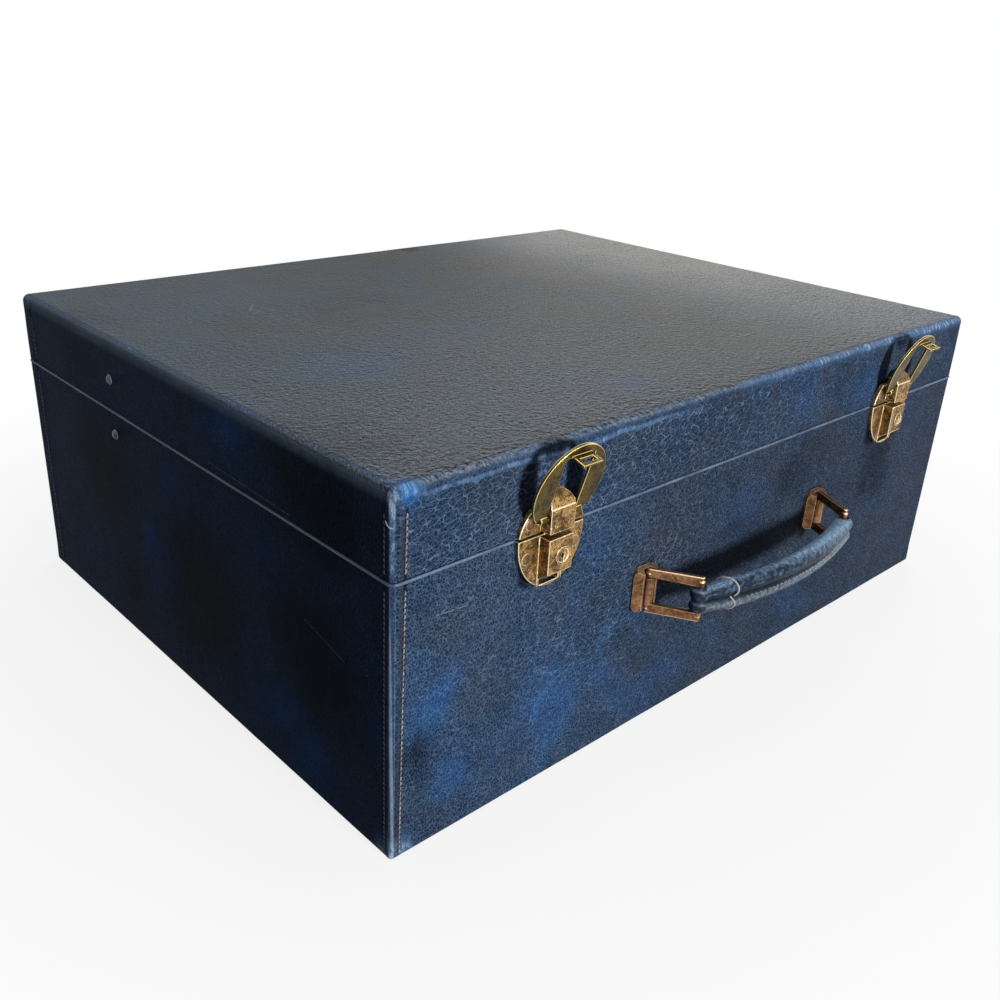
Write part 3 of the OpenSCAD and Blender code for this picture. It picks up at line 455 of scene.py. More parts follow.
class ClothNodes(Recipe):
    """The nodes of the leathercloth, with the values that its colours, marks and relief share."""

    def __init__(self, name: str) -> None:
        """Adds the places, the ways that the surface faces, and the clouds, grain and creases over it.

        Args:
            name: The material's name.
        """
        super().__init__(name)
        self.x, self.y, self.z = (self.axis(letter) for letter in "XYZ")
        self.up = self.facing("Z").step(0.25, 0.75)
        self.front = (self.facing("Y") * -1.0).step(0.3, 0.8)
        self.left = (self.facing("X") * -1.0).step(0.3, 0.8)
        self.far = self.x.step(-0.15, -0.02) * self.front
        self.mottle = self.noise(17.0, 4.0, 0.6, 0.4, self.warped(26.0, 0.012))
        self.patchy = self.noise(58.0, 4.0, 0.65, 0.8)
        self.speckle = self.noise(1100.0, 2.0, 0.6)
        self.ragged = self.noise(1.0, 4.0, 0.65, 0.6, self.stretched((520.0, 160.0, 160.0)))
        self.broken = self.noise(260.0, 2.0, 0.5).step(0.3, 0.6) * 0.6 + 0.4
        wall = 1.0 - self.up
        soft = self.warped(150.0, 0.0022)
        self.net = self.cells(440.0, self.slanted(soft, -74.0, 0.36)) * wall + self.cells(340.0, soft) * self.up
        self.fine = self.cells(720.0, self.slanted(self.warped(420.0, 0.001), 10.0, 0.68))
        self.lines = 1.0 - self.net.step(0.0, 0.055)
        self.drawn = (self.painted("net") * (self.patchy + 0.4)).held()
        # Fewer pale creases on the left end, as painted shade.
        self.shown = wall * (1.0 - self.left * (0.72 - self.z.step(0.139, 0.141) * 0.16))
        # Darkening from soot, stains and clouds, and on the left end painted shade.
        grimy = self.painted("soot_and_shade") + (0.5 - self.mottle) * 0.7 + (0.5 - self.patchy) * 0.4
        self.soot_and_shade = grimy.step(0.0, 0.85)
        self.clear = 1.0 - self.soot_and_shade * 0.78
        self.dye = (self.painted("dye") * (0.25 + self.patchy * 1.3) + (self.mottle - 0.5) * 0.8).step(0.08, 0.8)

    def slanted(self, source: bpy.types.NodeSocket, angle: float, squeeze: float) -> bpy.types.NodeSocket:
        """Coordinates that draw cells out along a slanting line on the front.

        Args:
            source: The coordinates to change.
            angle: Slant of the line in degrees.
            squeeze: How much the cells are drawn out, as a factor under 1.

        Returns:
            The new coordinates.
        """
        turned = self.stretched((1.0, 1.0, 1.0), (0, angle, 0), source)
        return self.stretched((1.0, 1.0, squeeze), source=turned)


@dataclass(frozen=True)
class Leathercloth:
    """Grained blue leathercloth, with pale creases that also stand for the grain's glints, brighter patches of dye,
    worn edges, a grey top of dust and a painted sheen, and painted shade on the left end.
    """

    name: str
    deep: Colour = srgb(9, 15, 26)
    navy: Colour = srgb(29, 48, 78)
    dye: Colour = srgb(26, 78, 142)
    umber: Colour = srgb(58, 54, 60)
    # Pale creases, also used for the painted glints of the grain.
    crease: Colour = srgb(112, 142, 172)
    # The top's greys stand for dust and a painted sheen of reflected light; the palest is also the painted light of
    # the top's ripples, and the warm one a painted sheen toward the far right.
    dust_and_sheen: Colour = srgb(105, 106, 103)
    ash: Colour = srgb(93, 105, 115)
    haze: Colour = srgb(104, 126, 154)
    # The grey of the painted highlight under the top edge of the left end.
    slate: Colour = srgb(118, 136, 156)
    pale: Colour = srgb(158, 164, 170)
    worn: Colour = srgb(82, 118, 162)
    warm_sheen: Colour = srgb(206, 200, 186)
    lively: Colour = srgb(44, 126, 204)
    scuff: Colour = srgb(178, 196, 214)
    gloss: float = 0.42
    shine: float = 0.005
    bending: float = 1.46
    scratches: tuple[tuple[Place, Place, float, float], ...] = (
        ((-0.1425, 0.074, 0.18), (-0.1335, 0.086, 0.18), 0.0007, 0.6),
        ((-0.1450, 0.066, 0.18), (-0.1385, 0.070, 0.18), 0.0005, 0.4),
        ((-0.2120, -0.183, 0.1178), (-0.1955, -0.183, 0.1168), 0.0004, 0.4),
        ((-0.2165, -0.183, 0.1450), (-0.2125, -0.183, 0.1462), 0.0006, 0.5),
        ((-0.235, -0.040, 0.1440), (-0.235, -0.110, 0.1425), 0.0005, 0.35),
        ((-0.235, -0.120, 0.0950), (-0.235, -0.150, 0.0880), 0.0005, 0.25),
    )

    def material(self) -> bpy.types.Material:
        """Builds the cover's material.

        Returns:
            The material, which reads the mesh's painted values for dye, the crease net, wear, and soot with painted
            shade.
        """
        c = ClothNodes(self.name)
        self._dyed(c)
        self._top_sheen_and_darkening(c)
        self._creased(c)
        self._rubbed(c)
        self._corner(c)
        self._marked(c)
        rough = self.gloss + (c.mottle - 0.5) * 0.16 + c.lines * 0.1 + (c.speckle - 0.5) * 0.16
        return c.set(Base_Color=c.colour, Roughness=rough.held(), Normal=self._relief(c), IOR=self.bending,
                     Specular_IOR_Level=self.shine)

    def _dyed(self, c: ClothNodes) -> None:
        """Lays the blue of the walls, with brown clouds and a darker front toward the right.

        Args:
            c: The material's nodes, with the colour so far.
        """
        c.colour = self.navy
        c.lay(c.dye * 0.8, self.dye)
        clouds = c.noise(26.0, 3.0, 0.6, 0.5).step(0.42, 0.66)
        lower = c.far * c.z.step(0.139, 0.137)
        c.lay(clouds * c.front * (0.36 + c.far * 0.34) * (1.0 - c.dye), self.umber)
        c.lay(c.far * 0.16 + lower * 0.26, self.umber)
        c.lay(c.far * 0.17 + lower * (1.0 - c.x.step(0.12, 0.2)) * 0.24, self.deep)

    def _top_sheen_and_darkening(self, c: ClothNodes) -> None:
        """Lays the grey of the top, which stands for dust and a painted sheen, paler toward the far right as a
        painted sheen, and the soot on everything, with painted shade on the left end.

        Args:
            c: The material's nodes, with the colour so far.
        """
        cool = c.x * -2.4 + (c.mottle - 0.5) * 2.2 + 0.25 + c.painted("dye") * 1.2
        # Painted sheen: paler toward the far right, the near front and the left, with a warm painted sheen at the far
        # right.
        lift = c.y.step(0.03, -0.16) * 0.14 + c.x.step(0.05, 0.22) * 0.85 + c.x.step(0.03, -0.14) * 0.16
        right_sheen = c.x.step(0.10, 0.235) * c.y.step(-0.19, 0.0) * (0.25 + c.patchy * 0.4)
        dust_and_sheen_grey = c.mix(lift, c.mix(cool, self.dust_and_sheen, self.ash), self.pale)
        dust_and_sheen_grey = c.mix(right_sheen, c.mix(c.dye * 0.6, dust_and_sheen_grey, self.haze), self.warm_sheen)
        # The top takes the grey of dust and painted sheen.
        c.lay(c.up * 0.97, dust_and_sheen_grey)
        # Soot, and on the left end painted shade, darken the walls and, less, the top.
        c.lay(c.soot_and_shade * (0.95 - c.up * 0.45), self.deep)

    def _creased(self, c: ClothNodes) -> None:
        """Lays the pale grit and net of the walls, which are pale creases and painted glints of the grain, the
        painted glints of the speckle, and the painted light and shade on the sides of the top's creases.

        Args:
            c: The material's nodes, with the colour so far.
        """
        # The pale grit and net lines are pale creases and painted glints of the grain, fewer on the left end as
        # painted shade.
        grit_and_glint = (1.0 - c.fine.step(0.0, 0.13)) * (1.0 - c.drawn * 0.5) * (0.35 + c.patchy * 1.1)
        c.lay(grit_and_glint * (0.60 - c.far * 0.2) * c.shown * c.clear, self.crease)
        # Painted glints on the speckle.
        c.lay(c.speckle.step(0.55, 0.72) * 0.2 * c.clear * c.shown, self.crease)
        c.lay(c.speckle.step(0.45, 0.3) * 0.4, self.deep)
        below_edge = c.z.step(0.1765, 0.1745) * 0.75 + 0.25
        c.lay(c.lines * c.broken * c.drawn * c.shown * c.clear * below_edge, self.crease)
        # Painted light and shade on the sides of the top's ripples, as if lit from behind, from the noise's change
        # over a small step.
        here = c.warped(150.0, 0.0016)
        beside = c.vector("ADD", here, (0.00045, 0.0005, 0.0)).out()
        ripple_light_and_shade = (c.noise(430.0, 2.0, 0.55, 0.3, here) - c.noise(430.0, 2.0, 0.55, 0.3, beside)) * 6.0
        strong = c.up * (0.22 + c.drawn * 0.95)
        c.lay(ripple_light_and_shade * strong * 0.8, self.pale)
        c.lay(ripple_light_and_shade * strong * -1.1, self.deep)

    def _rubbed(self, c: ClothNodes) -> None:
        """Lays the brighter blue of rubbed edges, and the bare threads where they are rubbed most.

        Args:
            c: The material's nodes, with the colour so far.
        """
        wear_and_shading = c.painted("wear_and_shading")
        rubbed_and_lit = (wear_and_shading * (0.5 + c.ragged * 0.9) + wear_and_shading * c.lines * 0.4 - 0.06).held()
        c.lay(rubbed_and_lit.step(0.02, 0.66), c.mix(c.painted("dye") - 0.3, self.worn, self.lively))
        bare = (wear_and_shading - 0.34) * 2.6 * (c.ragged.step(0.5, 0.62) + c.lines * 0.6)
        c.lay(bare * 0.85, self.scuff)

    def _corner(self, c: ClothNodes) -> None:
        """Lays a grey band under the top edge of the left end, a painted highlight, and the marks at the near corner:
        the strip beside the stitches, its holes.

        Args:
            c: The material's nodes, with the colour so far.
        """
        # Painted highlight: a grey band under the top edge of the left end.
        edge_highlight = c.z.step(0.1715, 0.1765) * c.left * (0.35 + c.patchy * 0.9)
        c.lay(edge_highlight * 0.95, self.slate)
        strip = abs(c.x - c.z * 0.012 + 0.2312).step(0.0022, 0.0012) * c.front * c.z.step(0.172, 0.168)
        c.lay(strip * (0.2 + c.patchy * 0.6), self.umber)
        holes = abs(c.x - c.z * 0.0141 + 0.2304).step(0.0010, 0.0004) * c.front * c.z.step(0.172, 0.170)
        c.lay(holes * 0.75, self.deep)

    def _marked(self, c: ClothNodes) -> None:
        """Lays the fold under the lid's front edge, the corner seam's bare line, lint and scratches.

        Args:
            c: The material's nodes, with the colour so far.
        """
        sag = (c.noise(32.0, 2.0) - 0.5) * 0.006
        fray = (c.ragged - 0.5) * 0.0022
        reach = c.x.step(-0.224, -0.214) * c.x.step(-0.03, -0.10)
        fold = (1.0 - abs(c.z - 0.1738 - sag - fray).step(0.0004, 0.0016)) * c.front * reach
        c.lay(fold * (c.patchy * 2.2 - 0.45), self.worn)
        c.lay((fold * (c.ragged * 3.0 - 1.45)).held() * 0.7, self.scuff)
        seam = 1.0 - abs(c.x + c.z * 0.012 + 0.2336).step(0.0002, 0.0007)
        c.lay(seam * c.front * c.z.step(0.1382, 0.1376) * (c.patchy * 1.1), self.scuff)
        lint = c.cells(88.0, c.warped(60.0, 0.01), "F1").step(0.034, 0.012)
        c.lay(lint * 0.4 * c.clear, self.scuff)
        for start, end, width, share in self.scratches:
            c.lay(self._scratch(c, start, end, width) * c.broken * (c.speckle * 2.4 - 0.6).held() * share, self.scuff)

    def _scratch(self, c: ClothNodes, start: Place, end: Place, width: float) -> Shade:
        """How much each point lies on a straight scratch.

        Args:
            c: The material's nodes.
            start: One end of the scratch.
            end: Its other end.
            width: Its half width.

        Returns:
            The share, from 0 to 1.
        """
        run = Vector(end) - Vector(start)
        gap = c.vector("SUBTRACT", c.places, start).out()
        along = c.vector("DOT_PRODUCT", gap, tuple(run / run.length_squared)).value("Value").held()
        nearest = c.vector("SCALE", tuple(run), scale=along).out()
        return c.vector("DISTANCE", gap, nearest).value("Value").step(width, width * 0.3)

    def _relief(self, c: ClothNodes) -> bpy.types.NodeSocket:
        """The cloth's grain and its broader crinkles, as a normal.

        Args:
            c: The material's nodes.

        Returns:
            The normal.
        """
        grain = (c.net.step(0.0, 0.12) * c.drawn * (0.35 + c.up * 0.4) + c.fine.step(0.0, 0.36) * 0.42
                 + c.speckle * 0.14)
        places = c.stretched((400.0, 400.0, 400.0), source=c.warped(130.0, 0.002))
        crinkle = c.noise(1.0, 3.0, 0.62, 0.9, places) * (0.12 + c.up * (0.4 + c.drawn * 1.3))
        return c.bump(crinkle, 0.0012, 0.8, c.bump(grain, 0.00036, 0.85))


@dataclass(frozen=True)
class OldMetal:
    """Tarnished metal, dark in its hollows, with bright edges where it is handled that also stand for a painted
    highlight.
    """

    name: str
    bright: Colour
    plain: Colour
    dark: Colour
    gloss: float = 0.36
    pits: float = 0.5
    edge: float = 0.45 * MM
    spots: float = 900.0
    metal: float = 0.92

    def material(self) -> bpy.types.Material:
        """Builds the metal's material, which reads a painted value for its edges and brightens the edges, for wear
        and as a painted highlight.

        Returns:
            The material.
        """
        r = Recipe(self.name)
        cloud = r.noise(170.0, 4.0, 0.66, 0.7)
        grime = r.noise(760.0, 3.0, 0.6, 0.3)
        pit = r.cells(self.spots, r.warped(300.0, 0.0008), "F1").step(0.40, 0.20)
        fleck = r.cells(self.spots * 1.3, r.warped(500.0, 0.0006), "F1").step(0.30, 0.14)
        some = r.noise(300.0, 2.0, 0.5).step(0.44, 0.6)
        # The edges, found by the bevel of the normal and by the painted value, are brightened for wear and as a
        # painted highlight.
        flat = r.node("ShaderNodeNewGeometry", {}, {}).out("Normal")
        eased = r.node("ShaderNodeBevel", {"samples": 4}, {"Radius": self.edge}).out()
        turn = r.vector("DOT_PRODUCT", flat, eased).value("Value")
        rim = ((1.0 - turn).step(0.006, 0.10) * 0.8 + r.painted("rim") * (0.45 + grime * 0.9)).held()
        r.colour = self.plain
        r.lay(cloud.step(0.38, 0.64), self.dark)
        r.lay(grime.step(0.48, 0.66) * (0.35 + self.pits * 0.4), self.dark)
        r.lay(fleck * some * self.pits * 0.8, self.bright)
        r.lay(pit * (1.0 - some * 0.5) * self.pits, self.dark)
        r.lay(rim, self.bright)
        rough = self.gloss + (cloud - 0.4) * 0.3 - rim * 0.1 + pit * 0.2 * self.pits
        skin = r.bump(1.0 - pit * self.pits + grime * 0.3, 0.0002, 0.7)
        return r.set(Base_Color=r.colour, Roughness=rough.held(), Metallic=self.metal, Normal=skin)


@dataclass(frozen=True)
class SoftLeather:
    """Smooth leather of the grip, creased, brightened where it is rubbed shiny and for a painted sheen, and darkened
    for painted shade.
    """

    name: str
    deep: Colour = srgb(9, 15, 26)
    plain: Colour = srgb(27, 43, 66)
    # The pale blue of rubbed leather and of its painted sheen.
    rubbed_and_lit: Colour = srgb(152, 184, 214)
    gloss: float = 0.36
    fray: float = 0.0
    shine: float = 0.10

    def material(self) -> bpy.types.Material:
        """Builds the leather's material, which reads a painted value for rubbing and painted sheen, which below 0 is
        painted shade.

        Returns:
            The material.
        """
        r = Recipe(self.name)
        mottle = r.noise(90.0, 4.0, 0.6, 0.5)
        grain = r.cells(1100.0, r.warped(700.0, 0.0003))
        streak = r.noise(1.0, 3.0, 0.62, 0.6, r.stretched((760.0, 340.0, 340.0), (0, 24, 0)))
        wear_and_shading = r.painted("wear_and_shading")
        # Pale streaks where rubbed, and as a painted sheen.
        rub_and_sheen = (wear_and_shading * (streak * 2.7 - 0.5) + (streak - 0.60).most(0.0) * 0.9 * self.fray).held()
        r.colour = self.plain
        r.lay(mottle.step(0.3, 0.85) * 0.8, self.deep)
        # Below 0 the painted value darkens the leather as painted shade.
        r.lay(wear_and_shading * -1.0, self.deep)
        r.lay(rub_and_sheen * (0.55 + grain.step(0.25, 0.0) * 0.6), self.rubbed_and_lit)
        rough = self.gloss + (mottle - 0.5) * 0.2 + (streak - 0.5) * 0.1
        skin = r.bump(grain.step(0.0, 0.35) * 0.5 + streak * 0.5, 0.00022, 0.6)
        return r.set(Base_Color=r.colour, Roughness=rough.held(), Normal=skin, Specular_IOR_Level=self.shine)


@dataclass(frozen=True)
class Plain:
    """A dull material with some clouding and a fine texture."""

    name: str
    light: Colour
    dark: Colour
    rough: float = 0.7
    grain: float = 600.0
    depth: float = 0.0001
    # The dark of soil, and of painted shade on the left end.
    soiled_and_shaded: Colour = srgb(22, 26, 34)

    def material(self) -> bpy.types.Material:
        """Builds the material.

        Returns:
            The material, which reads a painted value for soil, which on the left end is also painted shade.
        """
        r = Recipe(self.name)
        cloud = r.noise(70.0, 4.0, 0.6)
        fine = r.noise(self.grain, 3.0, 0.6)
        r.colour = self.light
        r.lay((cloud * 0.6 + fine * 0.4).step(0.3, 0.7), self.dark)
        r.lay(r.painted("soil_and_shade") * (0.6 + fine * 0.7), self.soiled_and_shaded)
        rough = self.rough + (cloud - 0.5) * 0.15
        return r.set(Base_Color=r.colour, Roughness=rough.held(), Normal=r.bump(fine, self.depth, 0.7))


class Finish(Enum):
    """The finishes that the pieces of the case are made in, by the record's material slot."""

    LEATHERCLOTH = "leathercloth"
    UNDERSIDE = "leathercloth_underside"
    BEAD = "leather_bead"
    BOARD = "board"
    LINING = "lining_paper"
    LOCK = "lock_brass"
    RING = "ring_brass"
    RIVET = "rivet_brass"
    HANDLE = "handle_copper"
    HINGE = "hinge_brass"
    STEEL = "steel"
    SPRING = "spring_steel"
    GRIP = "grip_leather"
    WELT = "welt_leather"
    SLEEVE = "sleeve_leather"
    THREAD = "thread"


class Workshop:
    """Makes each finish once and gives it to the pieces."""

    def __init__(self) -> None:
        """Lists how each finish is made."""
        self.dressed: list[tuple[str, Finish]] = []
        self._made: dict[Finish, bpy.types.Material] = {}
        self._ways: dict[Finish, Leathercloth | OldMetal | SoftLeather | Plain] = {
            Finish.LEATHERCLOTH: Leathercloth("blue_leathercloth"),
            Finish.UNDERSIDE: Plain("underside_leathercloth", srgb(34, 46, 66), srgb(18, 26, 38), 0.62, 500.0),
            Finish.BEAD: Plain("worn_bead_leather", srgb(112, 132, 160), srgb(56, 74, 104), 0.6, 700.0),
            Finish.BOARD: Plain("pasteboard", srgb(150, 126, 92), srgb(118, 96, 66), 0.85, 800.0),
            Finish.LINING: Plain("lining_paper", srgb(178, 166, 142), srgb(154, 140, 116), 0.82, 1200.0),
            Finish.LOCK: OldMetal("antique_brass", srgb(255, 236, 192), srgb(184, 148, 94), srgb(84, 60, 32),
                                  0.40, 1.0, 0.55 * MM, 620.0),
            Finish.RING: OldMetal("olive_brass", srgb(240, 218, 142), srgb(104, 84, 34), srgb(56, 44, 18),
                                  0.36, 0.3, 0.4 * MM),
            Finish.RIVET: OldMetal("dull_brass", srgb(206, 182, 146), srgb(144, 118, 86), srgb(98, 78, 54),
                                   0.5, 0.4),
            Finish.HANDLE: OldMetal("worn_copper", srgb(246, 214, 180), srgb(154, 114, 82), srgb(92, 62, 38),
                                    0.40, 0.3, 0.5 * MM, 500.0),
            Finish.HINGE: OldMetal("hinge_brass", srgb(214, 188, 140), srgb(146, 118, 74), srgb(92, 72, 44),
                                   0.42, 0.4),
            Finish.STEEL: OldMetal("dull_nickel", srgb(212, 212, 210), srgb(150, 150, 150), srgb(98, 98, 98),
                                   0.38, 0.3),
            Finish.SPRING: OldMetal("blued_steel", srgb(150, 154, 166), srgb(78, 82, 92), srgb(46, 48, 56),
                                    0.34, 0.1),
            Finish.GRIP: SoftLeather("grip_leather"),
            Finish.WELT: SoftLeather("welt_leather", srgb(22, 31, 44), srgb(58, 74, 94), srgb(160, 174, 186),
                                     0.55, 1.0),
            Finish.SLEEVE: SoftLeather("sleeve_leather", srgb(10, 16, 27), srgb(27, 41, 62), srgb(140, 164, 188),
                                       0.36, 1.0),
            Finish.THREAD: Plain("waxed_thread", srgb(206, 206, 212), srgb(128, 126, 132), 0.7, 2400.0),
        }

    def get(self, finish: Finish) -> bpy.types.Material:
        """The material of a finish, made the first time that it is asked for.

        Args:
            finish: The finish.

        Returns:
            Its material.
        """
        if finish not in self._made:
            self._made[finish] = self._ways[finish].material()
        return self._made[finish]

    def dress(self, piece: bpy.types.Object, finish: Finish) -> None:
        """Gives a piece one finish all over.

        Args:
            piece: The piece.
            finish: Its finish.
        """
        piece.data.materials.clear()
        piece.data.materials.append(self.get(finish))
        self.dressed.append((piece.name, finish))

    def make(self, name: str, shape: tuple[Sequence, Sequence], body: str, finish: Finish,
             painted: dict[str, Sequence[float]], node: str = "") -> bpy.types.Object:
        """Makes a closed piece, with its faces outwards, in one finish.

        Args:
            name: The piece's name.
            shape: Its points in metres and its faces.
            body: The body that carries it.
            finish: Its finish.
            painted: Values kept on its points, by name.
            node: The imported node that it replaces, if there is one.

        Returns:
            The piece.
        """
        piece = new_piece(name, shape, body, painted)
        bm = bmesh.new()
        bm.from_mesh(piece.data)
        bmesh.ops.recalc_face_normals(bm, faces=bm.faces)
        bm.to_mesh(piece.data)
        bm.free()
        if node:
            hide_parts(node)
        self.dress(piece, finish)
        return piece


def placed(name: str, mesh: bpy.types.Mesh, body: str) -> bpy.types.Object:
    """Puts a mesh in the scene as a smooth piece that rides on a body.

    Args:
        name: The piece's name.
        mesh: Its mesh.
        body: The body that carries it.

    Returns:
        The piece.
    """
    mesh.shade_smooth()
    piece = bpy.data.objects.new(name, mesh)
    bpy.context.scene.collection.objects.link(piece)
    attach(piece, body)
    return piece


def new_piece(name: str, shape: tuple[Sequence, Sequence], body: str,
              painted: dict[str, Sequence[float]]) -> bpy.types.Object:
    """A mesh piece that rides on a body.

    Args:
        name: The piece's name.
        shape: Its points in metres, and its faces as point numbers.
        body: The body that carries it.
        painted: Values kept on its points, by name.

    Returns:
        The piece.
    """
    verts, faces = shape
    mesh = bpy.data.meshes.new(name)
    mesh.from_pydata([tuple(map(float, v)) for v in verts], [], [tuple(map(int, f)) for f in faces])
    mesh.validate()
    for key, values in painted.items():
        mesh.attributes.new(key, "FLOAT", "POINT").data.foreach_set("value", np.asarray(values, np.float32))
    return placed(name, mesh, body)


def thicken(piece: bpy.types.Object, depth: float) -> None:
    """Gives a skin its thickness, under its outer face.

    Args:
        piece: The skin, whose faces look outwards.
        depth: Its thickness.
    """
    solid = piece.modifiers.new("thickness", "SOLIDIFY")
    solid.thickness = depth
    solid.offset = -1.0


def softened(name: str, node: bpy.types.Object, width: float, held: bool) -> bpy.types.Object:
    """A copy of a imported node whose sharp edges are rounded, as pressed or cast metal is.

    Args:
        name: The new piece's name.
        node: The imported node.
        width: Width of the rounded edges.
        held: Whether short edges hold the width back.

    Returns:
        The piece, which replaces the node.
    """
    weld, flat, crease = 0.002 * MM, math.radians(0.6), math.radians(44.0)
    bm = bmesh.new()
    bm.from_mesh(node.data)
    bmesh.ops.remove_doubles(bm, verts=bm.verts, dist=weld)
    bmesh.ops.dissolve_limit(bm, angle_limit=flat, verts=bm.verts, edges=bm.edges)
    bmesh.ops.triangulate(bm, faces=[f for f in bm.faces if len(f.verts) > 4])
    sharp = [e for e in bm.edges if len(e.link_faces) == 2 and e.calc_face_angle(0.0) > SHARP]
    rim = bm.faces.layers.float.new("rim")
    eased = bmesh.ops.bevel(bm, geom=sharp, offset=width, offset_type="OFFSET", segments=2,
                            profile=0.5, affect="EDGES", clamp_overlap=held, harden_normals=False)
    # The rounded edges are marked to be brightened, for wear and as a painted highlight.
    for face in eased["faces"]:
        face[rim] = 1.0
    bmesh.ops.remove_doubles(bm, verts=bm.verts, dist=weld / 2)
    mesh = bpy.data.meshes.new(name)
    bm.to_mesh(mesh)
    bm.free()
    piece = placed(name, mesh, node["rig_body"])
    mesh.set_sharp_from_angle(angle=crease)
    piece.modifiers.new("even_shading", "WEIGHTED_NORMAL").keep_sharp = True
    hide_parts(node.name)
    return piece


def ring_faces(rings: int, sides: int, joined: bool = False) -> list[tuple[int, ...]]:
    """Faces between rings of points that follow one another.

    Args:
        rings: How many rings there are.
        sides: Points in each ring.
        joined: Whether the last ring meets the first.

    Returns:
        The faces, without those of the ends.
    """
    faces = []
    for i in range(rings if joined else rings - 1):
        a, b = i * sides, (i + 1) % rings * sides
        faces += [(a + k, a + (k + 1) % sides, b + (k + 1) % sides, b + k) for k in range(sides)]
    return faces


def end_faces(rings: int, sides: int) -> list[tuple[int, ...]]:
    """The two faces that close a row of rings."""
    return [tuple(range(sides))[::-1], tuple((rings - 1) * sides + k for k in range(sides))]


def tube(path: Sequence, radius: float, sides: int) -> tuple[list, list]:
    """A tube along a path, with closed ends.

    Args:
        path: Rows of x, y and z.
        radius: Its radius.
        sides: Points round it.

    Returns:
        The points and the faces.
    """
    path = np.asarray(path, float)
    ahead = np.gradient(path, axis=0)
    ahead /= np.linalg.norm(ahead, axis=1)[:, None]
    up = np.array([0.0, 0.0, 1.0]) if abs(ahead[0][2]) < 0.9 else np.array([0.0, 1.0, 0.0])
    turn = np.linspace(0.0, 2 * math.pi, sides, endpoint=False)
    verts: list = []
    for spot, way in zip(path, ahead):
        side = np.cross(way, up)
        side /= np.linalg.norm(side)
        up = np.cross(side, way)
        verts.extend(spot + radius * (np.outer(np.cos(turn), side) + np.outer(np.sin(turn), up)))
    return verts, ring_faces(len(path), sides) + end_faces(len(path), sides)


def merged(parts: Iterable[tuple[list, list]]) -> tuple[list, list]:
    """Several point and face lists as one.

    Args:
        parts: The points and the faces of each part.

    Returns:
        All the points and all the faces.
    """
    verts: list = []
    faces: list = []
    for more, rest in parts:
        start = len(verts)
        verts.extend(more)
        faces.extend(tuple(start + i for i in face) for face in rest)
    return verts, faces


@dataclass(frozen=True)
class Patch:
    """A soft-edged patch on the case, where the dye is brighter or darker; lengths are in millimetres."""

    place: Place
    reach: float
    share: float

    def spread(self, points: np.ndarray) -> np.ndarray:
        """How strong the patch is at each point."""
        gap = np.linalg.norm(points / MM - np.array(self.place), axis=1) / self.reach
        return self.share * np.exp(-gap ** 2 * 1.4)


def patches(*rows: tuple[float, float, float, float, float]) -> tuple[Patch, ...]:
    """Patches from rows of x, y, z, reach and share."""
    return tuple(Patch(row[:3], row[3], row[4]) for row in rows)


def strongest(rows: Sequence[Patch], points: np.ndarray, reach: float, size: float, seed: float) -> np.ndarray:
    """How strong the strongest of several patches is at each point, with wandering edges.

    Args:
        rows: The patches.
        points: Rows of x, y and z in metres.
        reach: How far the edges wander.
        size: Width of the wander's swells.
        seed: Sets this wander apart from others.

    Returns:
        One value per row.
    """
    bent = points + reach * np.stack([wander(points, size, seed + k) for k in range(3)], 1)
    return np.max([patch.spread(bent) for patch in rows], 0)


